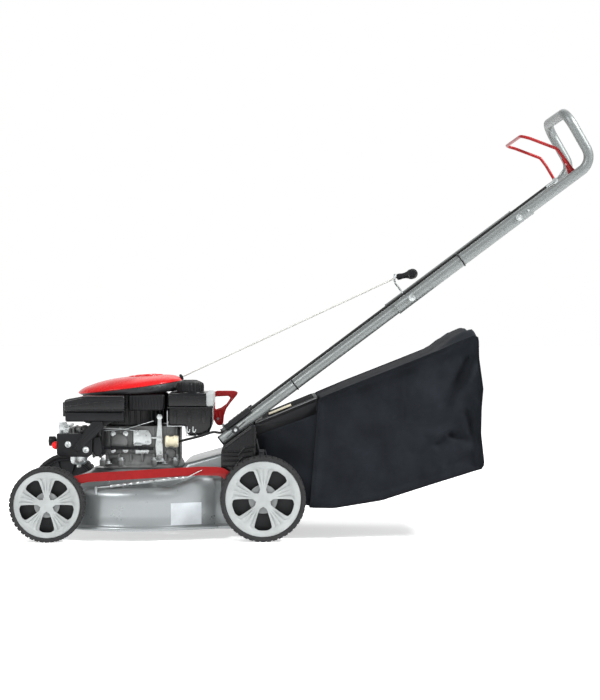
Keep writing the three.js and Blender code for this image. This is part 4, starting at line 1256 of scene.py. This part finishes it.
def build_handle():
    for side, s in SIDES:
        y = s * HANDLE_Y
        bm = bmesh.new()
        add_pipe(bm, [on_tube(-98, y), on_tube(372, y)], 12, 8)
        piece(bm, f"lower_pipe_{side}", "handle", "handle", (f"lower_tube_{side}",))
        bm = bmesh.new()
        start, end = on_tube(317, y), on_tube(634, y)
        add_pipe(bm, [start, start.lerp(end, 0.004), end.lerp(start, 0.004), end], 14.6, 8)
        add_pipe(bm, [on_tube(317, y), on_tube(320, y)], 15.1, 8)
        add_pipe(bm, [on_tube(631, y), on_tube(634, y)], 15.1, 8)
        piece(bm, f"middle_pipe_{side}", "handle", "handle", (f"middle_tube_{side}",))
        bm = bmesh.new()
        for x in (352, 606):
            at = on_tube(x, y)
            add_bolt(bm, at + spot(0, s * 14.2, 0), (0, s, 0), 5.4, 4)
            add_bolt(bm, at - spot(0, s * 14.2, 0), (0, -s, 0), 5.4, 4)
        button = on_tube(628, y)
        add_rod(bm, button + spot(0, s * 12, 0), button + spot(0, s * 16, 0), 3, 20, 0.8)
        piece(bm, f"joint_bolts_{side}", "handle", "zinc")
        bm = bmesh.new()
        add_pipe(bm, [on_tube(-101, y), on_tube(-98.4, y)], 12.6, 8)
        piece(bm, f"end_cap_{side}", "handle", "black")

        bm = bmesh.new()
        low, high = s * 149 - 10, s * 149 + 10
        foot, head, under, top = -79.0, -20.0, 12.4, 24.4 if s < 0 else 15.6
        ends = ((foot, under), (head, under), (head, top), (foot, top))
        corners = [on_tube(x, 0, lift) for x, lift in ends]
        add_slab(bm, [(c.x, c.z) for c in corners], low, high, 1.6, 3)
        for lift in (16, 20.4) if s < 0 else (14,):
            for at in (low, high):
                add_pipe(bm, [on_tube(foot + 4, at, lift), on_tube(head - 4, at, lift)], 0.9, 2)
        for i in range(6):
            a = on_tube(foot + 6 + i * 9.4, 0, top + 0.1)
            add_pipe(bm, [(a.x, low + 2, a.z), (a.x, high - 2, a.z)], 1.1, 2)
        piece(bm, f"sleeve_{side}", "handle", "black", (f"handle_clamp_{side}",))
        bm = bmesh.new()
        skin = y + s * 11.6
        add_pipe(bm, [on_tube(-88, skin, -2.5), on_tube(-73, skin, -0.5)], 1.1, 2)
        add_pipe(bm, [on_tube(-57, skin, 0.5), on_tube(-41, skin, 2.5)], 1.1, 2)
        pivot = HANDLE_PIVOT + spot(0, y, 0)
        add_rod(bm, pivot + spot(0, s * 10, 0), pivot + spot(0, s * 12.6, 0), 9.6, 32, 0.6)
        piece(bm, f"pivot_dimple_{side}", "handle", "band")
    bm = bmesh.new()
    path = [on_tube(596, -HANDLE_Y), spot(785.3, -HANDLE_Y, 893.3), spot(718, -HANDLE_Y, 1010),
            spot(718, HANDLE_Y, 1010), spot(785.3, HANDLE_Y, 893.3), on_tube(596, HANDLE_Y)]
    add_pipe(bm, rounded(path, 40, math.radians(6)), 12, 8)
    piece(bm, "loop_pipe", "handle", "handle", ("top_loop",))
    bm = bmesh.new()
    for x, radius in ((76, 12.8), (470, 15.4)):
        ring = []
        for i in range(40):
            a = 2 * math.pi * i / 40
            near = max(0.0, math.cos(a - math.radians(62)))
            reach = radius * (1 + 0.42 * near ** 6)
            ring.append(on_tube(x, -HANDLE_Y + math.cos(a) * reach, math.sin(a) * reach))
        add_pipe(bm, ring, 1.7, 2, True)
    piece(bm, "cable_ties", "handle", "black")


def build_controls():
    bm = bmesh.new()
    side = [(737, 868), (715, 905), (700, 925), (636, 949), (614, 955)]
    arm = [spot(x, -129, z) for x, z in side]
    path = arm + [spot(p.x, 129, p.z) for p in reversed(arm)]
    add_pipe(bm, rounded(path, 15, math.radians(10)), 3.8, 4)
    ear = [(727, 862), (737, 858), (747, 862), (748, 872), (738, 880), (720, 905), (711, 901), (724, 876)]
    add_slab(bm, ear, -130, -126, 1.0)
    add_slab(bm, [(731, 864), (737, 861), (743, 864), (743, 870), (736, 876), (730, 872)], 126, 130, 1.0)
    piece(bm, "bail_rod", "bail", "red", ("brake_bail",))
    bm = bmesh.new()
    for s in (-1, 1):
        add_bolt(bm, (737, s * 126, 868), (0, -s, 0), 5, 3.4)
        add_rod(bm, (737, s * 130, 868), (737, s * 136, 868), 3.6, 20, 0.3)
    add_rod(bm, (723, -131.5, 889), (723, -130, 889), 3.2, 20, 0.3)
    piece(bm, "bail_pins", "handle", "zinc")
    build_guide()
    build_cable_and_rope()


def build_guide():
    bm = bmesh.new()
    middle = spot(330, 96, 622)
    ring = [middle + spot(0, 9 * math.cos(a), 9 * math.sin(a))
            for a in (-math.pi / 2 + i * math.pi / 20 for i in range(33))]
    foot = on_tube(354, HANDLE_Y - 17.6)
    stem = [foot + spot(8, 0, -6), foot + spot(-8, -5, 22), middle + spot(2, 3, -14)]
    add_pipe(bm, rounded([*stem, *ring], 2), 2.6, 4)
    piece(bm, "guide_wire", "handle", "zinc", ("rope_guide",))
    bm = bmesh.new()
    start, stop = spot(335, 96, 624), spot(366, 96, 630.5)
    along = (stop - start).normalized()
    stem = [(0.01, 0), (5.2, 0), (7.8, 2), (8, 8), (7, 14), (7.4, 22), (10, 30), (0.01, 30)]
    add_turned(bm, stem, start, along, 36)
    half_bar = [(11.2, 8), (12.2, 20), (11.4, 29), (8, 33), (0.01, 33)]
    bar = [(r, -h) for r, h in reversed(half_bar)] + half_bar
    add_turned(bm, bar, (373, 96, 632), (0, 1, 0), 40)
    for i in range(9):
        y = 96 - 24 + i * 6
        ring = [(373 + 12 * math.cos(a), y, 632 + 12 * math.sin(a))
                for a in (2 * math.pi * k / 28 for k in range(28))]
        add_pipe(bm, ring, 0.8, 1, True)
    piece(bm, "pull_grip", "starter_grip", "black", ("starter_grip",))


def build_cable_and_rope():
    bm = bmesh.new()
    lower = [spot(-200, -94, 226), spot(-184, -108, 231), spot(-150, -119, 240), spot(-120, -127, 250),
             spot(-101, -131.5, 249), spot(-84, -133, 256), spot(-66, -134, 278), on_tube(-28, -135.5, 17),
             on_tube(60, -135, 18)]
    line = smoothed(lower, 6) + [on_tube(x, -135, 18) for x in range(100, 701, 40)]
    add_pipe(bm, line, 3, 3)
    piece(bm, "brake_line", "handle", "cable", ("brake_cable",),
          blend=("chassis", "handle", (-150, 0, 240), (0, 0, 300)))
    bm = bmesh.new()
    add_pipe(bm, [on_tube(684, -135, 18), on_tube(706, -134, 17)], 4.2, 3)
    add_pipe(bm, [on_tube(706, -134, 17), (722, -131, 886)], 0.9, 2)
    piece(bm, "cable_end", "handle", "zinc")
    bm = bmesh.new()
    start, end = spot(-199, 16, 377), spot(334, 96, 623)
    points = [start.lerp(end, i / 40) for i in range(41)]
    add_pipe(bm, points, 1.9, 3)
    piece(bm, "pull_rope", "handle", "rope", ("starter_rope",),
          blend=("chassis", "handle", (-190, 0, 377), (300, 0, 610)))
    bm = bmesh.new()
    add_pipe(bm, [spot(333 + i * 3, 96, 623.6 + i * 0.6) for i in range(9)], 1.8, 3)
    piece(bm, "rope_tail", "handle", "rope",
          blend=("handle", "starter_grip", (334, 96, 624), (356, 96, 628)))
    bm = bmesh.new()
    bush = [(2.4, 0), (8, 0), (8, 5), (6, 7), (2.4, 7)]
    add_turned(bm, bush, start + spot(-4, 0, -2), (0.89, 0.13, 0.41), 28)
    piece(bm, "rope_bush", "chassis", "black")


# ---- Bag ----

# the bag's side outline: x and z
BAG_SIDE = [
    (110, 76), (131, 330), (200, 359), (279, 390), (350, 418), (420, 446), (455, 462), (487, 475), (500, 480),
    (507, 474), (508, 427), (518, 355), (514, 307), (513, 247), (521, 178), (517, 167), (503, 163.5),
    (392, 129), (279, 93), (167, 75),
]
BAG_MIDDLE = Vector((325, 0, 265))
BAG_HALF = 176.0
CLOTH = 0.0016


def bag_station(fraction):
    """A point of the bag's side outline at a share of its length."""
    points = [Vector((x, 0, z)) for x, z in BAG_SIDE] + [Vector((BAG_SIDE[0][0], 0, BAG_SIDE[0][1]))]
    lengths = [(b - a).length for a, b in zip(points, points[1:])]
    left = fraction % 1.0 * sum(lengths)
    for a, b, length in zip(points, points[1:], lengths):
        if left <= length:
            return a.lerp(b, left / length)
        left -= length
    return points[-1]


def build_bag():
    bm = bmesh.new()
    around, across, deep = 240, 30, 26
    stations = [bag_station(i / around) for i in range(around)]
    # each ring's y, and its size as a share of the side outline
    rows = [(-BAG_HALF, (j + 1) / (deep + 1)) for j in range(deep)]
    rows += [(-BAG_HALF + 2 * BAG_HALF * k / across, 1.0) for k in range(across + 1)]
    rows += [(BAG_HALF, (deep - j) / (deep + 1)) for j in range(deep)]
    first = bmesh.ops.create_circle(bm, segments=around, radius=1)["verts"]
    rings = [first]
    for _ in rows[1:]:
        members = set(rings[-1])
        edges = [e for e in {e for v in rings[-1] for e in v.link_edges} if members.issuperset(e.verts)]
        made = bmesh.ops.extrude_edge_only(bm, edges=edges)["geom"]
        mates = {}
        for v in (g for g in made if isinstance(g, bmesh.types.BMVert)):
            mates[next(e.other_vert(v) for e in v.link_edges if e.other_vert(v) in members)] = v
        rings.append([mates[v] for v in rings[-1]])
    for (y, t), ring in zip(rows, rings):
        for station, v in zip(stations, ring):
            p = BAG_MIDDLE + (station - BAG_MIDDLE) * t
            v.co = bag_surface(Vector((p.x, y, p.z)), t, station)
    for ring in (rings[0], rings[-1]):
        bm.faces.new(ring)
    bmesh.ops.recalc_face_normals(bm, faces=bm.faces)
    middles = ((f, f.calc_center_median()) for f in bm.faces if f.normal.x < -0.8)
    mouth = [f for f, at in middles if at.x < 136 and abs(at.y) < 104 and 108 < at.z < 290]
    bmesh.ops.delete(bm, geom=mouth, context="FACES")
    give_wall(piece(bm, "bag_cloth", "bag", "cloth", ("grass_bag",), 75), CLOTH)
    build_bag_seams()


FOLDS = (
    # start x, z and end x, z of a fold on the bag's side, its half width and how far it stands out
    (492, 424, 430, 322, 11, -7.0), (505, 420, 450, 312, 13, 6.0), (488, 300, 508, 216, 9, -5.0),
    (505, 330, 512, 240, 8, 3.0), (411, 226, 446, 246, 9, -4.5), (446, 246, 476, 236, 9, -4.5),
    (408, 240, 470, 262, 14, 3.0), (392, 424, 298, 276, 22, 2.6), (372, 338, 280, 142, 24, 3.0),
    (452, 260, 360, 170, 18, -3.0), (478, 440, 350, 396, 16, -3.0), (470, 210, 400, 150, 16, 2.6),
    (240, 350, 190, 120, 26, -2.2), (330, 400, 250, 250, 26, -2.0), (500, 200, 440, 175, 10, -3.0),
)


def fold_depth(x, z):
    """How far the folds push the cloth out at a point of the bag's side."""
    depth = 0.0
    for x0, z0, x1, z1, width, rise in FOLDS:
        run = Vector((x1 - x0, z1 - z0))
        t = Vector((x - x0, z - z0)).dot(run) / run.length_squared
        off = (Vector((x - x0, z - z0)) - run * min(max(t, 0.0), 1.0)).length
        taper = 1 - 0.5 * min(max(t, 0.0), 1.0)
        depth += rise * taper * math.exp(-(off / width) ** 2)
    return depth * sizes().folds


def bag_surface(p, t, station):
    """The cloth's place for a point of the bag's plain shape: sunk between seams, thrown into folds."""
    sag, wrinkle = sizes().bag_sag / MM, sizes().wrinkle / MM
    side = abs(p.y) > BAG_HALF - 1
    edge = min(1.0, (1 - t) / 0.12) if side else min(1.0, (BAG_HALF - abs(p.y)) / 34)
    soft = edge * edge * (3 - 2 * edge)
    rear = ease(p.x, 300, 480)
    crease = noise.noise(Vector((p.x * 0.012, p.y * 0.01, p.z * 0.02)))
    ripple = noise.noise(Vector((p.x * 0.05 + 7, p.y * 0.02, p.z * 0.014))) * rear
    fine = noise.noise(Vector((p.x * 0.09, p.y * 0.05 + 3, p.z * 0.07)))
    depth = wrinkle * (1.1 * crease + 1.3 * ripple + 0.3 * fine)
    out = p.copy()
    if side:
        s = math.copysign(1, p.y)
        pull = 1.0 if s < 0 else 0.9
        out.y -= s * soft * (sag * 0.8 - depth - fold_depth(p.x, p.z) * pull)
    else:
        away = (station - BAG_MIDDLE).normalized()
        droop = fold_depth(p.x, p.z) * 0.35 * rear
        out -= Vector((away.x, 0, away.z)) * soft * (sag * 0.7 - depth - droop)
        out.z += soft * ease(away.z, 0.3, 0.6) * (sag * 0.6 + 15 * ease(p.x, 395, 475))
    return out


def bag_skirt(bm, s):
    """The cloth that runs from the mouth frame out to the bag's full width behind a rear wheel."""
    inner = [spot(-12, s * 121, z) for z in (96, 130, 165, 200, 238)]
    outer = [spot(116 + (z - 76) * 0.08, s * (175 if s < 0 else 171.6), z) for z in (78, 140, 205, 270, 334)]
    inner[-1].z, outer[-1].z = 243, 300
    columns = 18
    rows = []
    for j in range(25):
        u = j / 24 * 4
        k = min(int(u), 3)
        a, b = inner[k].lerp(inner[k + 1], u - k), outer[k].lerp(outer[k + 1], u - k)
        row = []
        for i in range(columns + 1):
            v = i / columns
            at = a.lerp(b, v)
            at.y = a.y + (b.y - a.y) * math.sin(v * math.pi / 2) ** 0.6
            at.y -= s * (3 + 2.4 * math.sin(at.z * 0.09 + at.x * 0.05)) * math.sin(v * math.pi)
            row.append(bm.verts.new(at))
        rows.append(row)
    for low, high in zip(rows, rows[1:]):
        edges = [bm.edges.get(pair) or bm.edges.new(pair)
                 for row in (low, high) for pair in zip(row, row[1:])]
        bmesh.ops.bridge_loops(bm, edges=edges)


def build_bag_seams():
    for side, s in SIDES:
        bm = bmesh.new()
        path = [bag_station(i / 160) for i in range(160)]
        add_pipe(bm, [(p.x, s * (BAG_HALF + 0.5), p.z) for p in path], 2.1, 3, True)
        piece(bm, f"bag_piping_{side}", "bag", "binding")
        bm = bmesh.new()
        count, length, y = 232, 0.55, s * 177.2
        for i in range(count):
            ends = [BAG_MIDDLE + (bag_station(k / count) - BAG_MIDDLE) * 0.955 for k in (i, i + length)]
            add_pipe(bm, [(p.x, y, p.z) for p in ends], 0.55, 0)
        piece(bm, f"bag_stitches_{side}", "bag", "binding")
    for side, s in SIDES:
        bm = bmesh.new()
        bag_skirt(bm, s)
        bmesh.ops.recalc_face_normals(bm, faces=bm.faces)
        give_wall(piece(bm, f"bag_skirt_{side}", "bag", "cloth", sharp=75), CLOTH, 0)


def build_mouth_frame():
    def ribs(bm):
        for s in (-1, 1):
            for z in (120, 160, 200):
                add_pipe(bm, [(-52, s * 117, z), (100, s * 117, z + 6)], 1.8, 2)

    dressed("bag_mouth_frame", "black", 1.2, 32, ribs)


# ---- Stage ----


# name, place, size and power of each light
LIGHTS = (
    ("key", (-2.4, -2.6, 3.0), 1.6, 90),
    ("rake", (2.3, -1.0, 2.7), 0.7, 170),
    ("rim", (0.4, 2.8, 3.2), 2.8, 32),
)
LIT_POINT = Vector((0, 0, 0.4))
FLOOR_GLOW = 0.55
# height above the horizon and the sky's strength there, for its brightest and its dimmest part
SKY_LOW, SKY_HIGH = (0.25, 1.0), (0.5, 0.5)
CAMERA_LENS, CAMERA_SENSOR = 94.2, 36
CAMERA_FROM_WHEEL, CAMERA_BACK, CAMERA_HEIGHT = -0.007, -4.485, 0.517
CAMERA_YAW, CAMERA_PITCH = math.radians(1.25), math.radians(-0.94)


def stage_object(name, data, place, look):
    """A light or the camera, at a place and looking along a direction."""
    holder = bpy.data.objects.new(name, data)
    holder.location = place
    holder.rotation_euler = look.to_track_quat("-Z", "Y").to_euler()
    bpy.context.scene.collection.objects.link(holder)
    return holder


def build_floor():
    bpy.ops.mesh.primitive_plane_add(size=60, location=(0, 0, 0))
    floor = bpy.context.object
    floor.name = "floor"
    pale = Nodes("pale_floor")
    pale.use(Base_Color=(0.9, 0.9, 0.9, 1), Roughness=0.85, Emission_Color=(1, 1, 1, 1),
             Emission_Strength=FLOOR_GLOW)
    floor.data.materials.append(pale.material)


def build_sky():
    world = bpy.data.worlds.new("studio")
    bpy.context.scene.world = world
    world.use_nodes = True
    tree = world.node_tree
    sky = tree.nodes["Background"]
    sky.inputs["Color"].default_value = (1, 1, 1, 1)
    way = tree.nodes.new("ShaderNodeSeparateXYZ")
    tree.links.new(tree.nodes.new("ShaderNodeTexCoord").outputs["Generated"], way.inputs["Vector"])
    spread = tree.nodes.new("ShaderNodeMapRange")
    tree.links.new(way.outputs["Z"], spread.inputs["Value"])
    for end, (height, strength) in (("Min", SKY_LOW), ("Max", SKY_HIGH)):
        spread.inputs["From " + end].default_value = height
        spread.inputs["To " + end].default_value = strength
    tree.links.new(spread.outputs["Result"], sky.inputs["Strength"])


def build_stage():
    build_floor()
    build_sky()
    for name, at, size, power in LIGHTS:
        light = bpy.data.lights.new(name, "AREA")
        light.size = size
        light.energy = power * sizes().light
        stage_object(name, light, at, LIT_POINT - Vector(at))
    camera = bpy.data.cameras.new("camera")
    camera.lens = CAMERA_LENS
    camera.sensor_width = CAMERA_SENSOR
    camera.clip_end = 100
    place = (rear_wheel_x() + CAMERA_FROM_WHEEL, CAMERA_BACK, CAMERA_HEIGHT)
    look = Vector((math.sin(CAMERA_YAW), math.cos(CAMERA_YAW), math.tan(CAMERA_PITCH)))
    scene = bpy.context.scene
    scene.camera = stage_object("camera", camera, place, look)
    scene.view_settings.view_transform = "Standard"


# ---- Operators ----


class MOWER_OT_stage(bpy.types.Operator):
    """Floor, soft light and camera"""

    bl_idname = "mower.stage"
    bl_label = "Stage"

    def execute(self, context):
        build_stage()
        return {"FINISHED"}


class MOWER_OT_finishes(bpy.types.Operator):
    """Paints, plastics, metals, rubber and cloth"""

    bl_idname = "mower.finishes"
    bl_label = "Finishes"

    def execute(self, context):
        FINISHES.update(make_finishes())
        return {"FINISHED"}


class MOWER_OT_deck(bpy.types.Operator):
    """Pressed steel deck with its bolts and label"""

    bl_idname = "mower.deck"
    bl_label = "Deck"

    def execute(self, context):
        build_deck()
        return {"FINISHED"}


class MOWER_OT_wheels(bpy.types.Operator):
    """Four wheels with tread, core and spoked cover"""

    bl_idname = "mower.wheels"
    bl_label = "Wheels"

    def execute(self, context):
        build_wheels()
        return {"FINISHED"}


class MOWER_OT_running_gear(bpy.types.Operator):
    """Axles, link bar, height spring and height lever"""

    bl_idname = "mower.running_gear"
    bl_label = "Running gear"

    def execute(self, context):
        build_running_gear()
        return {"FINISHED"}


class MOWER_OT_engine(bpy.types.Operator):
    """Crankcase, cylinder, muffler, blade and their trim"""

    bl_idname = "mower.engine"
    bl_label = "Engine"

    def execute(self, context):
        build_block()
        build_trim()
        build_blade()
        return {"FINISHED"}


class MOWER_OT_covers(bpy.types.Operator):
    """Red hood, fluted housing and air filter"""

    bl_idname = "mower.covers"
    bl_label = "Covers"

    def execute(self, context):
        build_top_cover()
        build_housing()
        build_filter()
        return {"FINISHED"}


class MOWER_OT_fuel(bpy.types.Operator):
    """Fuel tank, ribbed cap and carburettor"""

    bl_idname = "mower.fuel"
    bl_label = "Fuel system"

    def execute(self, context):
        build_tank()
        bulb = build_carburettor()
        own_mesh(bulb)
        return {"FINISHED"}


class MOWER_OT_rear(bpy.types.Operator):
    """Handle brackets and rear flap"""

    bl_idname = "mower.rear"
    bl_label = "Brackets and flap"

    def execute(self, context):
        build_brackets()
        build_flap()
        return {"FINISHED"}


class MOWER_OT_handle(bpy.types.Operator):
    """Handle tubes, clamps and bolts"""

    bl_idname = "mower.handle"
    bl_label = "Handle"

    def execute(self, context):
        build_handle()
        return {"FINISHED"}


class MOWER_OT_controls(bpy.types.Operator):
    """Brake bail, cable, starter rope and grip"""

    bl_idname = "mower.controls"
    bl_label = "Controls"

    def execute(self, context):
        build_controls()
        return {"FINISHED"}


class MOWER_OT_bag(bpy.types.Operator):
    """Cloth bag with its seams and mouth frame"""

    bl_idname = "mower.bag"
    bl_label = "Bag"

    def execute(self, context):
        build_bag()
        build_mouth_frame()
        return {"FINISHED"}


STEPS = (
    MOWER_OT_finishes, MOWER_OT_stage, MOWER_OT_deck, MOWER_OT_wheels, MOWER_OT_running_gear,
    MOWER_OT_engine, MOWER_OT_covers, MOWER_OT_fuel, MOWER_OT_rear, MOWER_OT_handle, MOWER_OT_controls,
    MOWER_OT_bag,
)


class MOWER_PT_panel(bpy.types.Panel):
    """The mower's settings and steps"""

    bl_label = "Push lawn mower"
    bl_idname = "MOWER_PT_panel"
    bl_space_type = "VIEW_3D"
    bl_region_type = "UI"
    bl_category = "Mower"

    def draw(self, context):
        for settings in (context.scene.mower_sizes, context.scene.mower_colours):
            for key in settings.__annotations__:
                self.layout.prop(settings, key)
        for step in STEPS:
            self.layout.operator(step.bl_idname)


CLASSES = (MowerSizes, MowerColours, *STEPS, MOWER_PT_panel)


def register():
    for cls in CLASSES:
        bpy.utils.register_class(cls)
    bpy.types.Scene.mower_sizes = bpy.props.PointerProperty(type=MowerSizes)
    bpy.types.Scene.mower_colours = bpy.props.PointerProperty(type=MowerColours)


def unregister():
    del bpy.types.Scene.mower_colours
    del bpy.types.Scene.mower_sizes
    for cls in reversed(CLASSES):
        bpy.utils.unregister_class(cls)


def main():
    register()
    for step in STEPS:
        group, name = step.bl_idname.split(".")
        getattr(getattr(bpy.ops, group), name)()


if __name__ == "__main__":
    main()
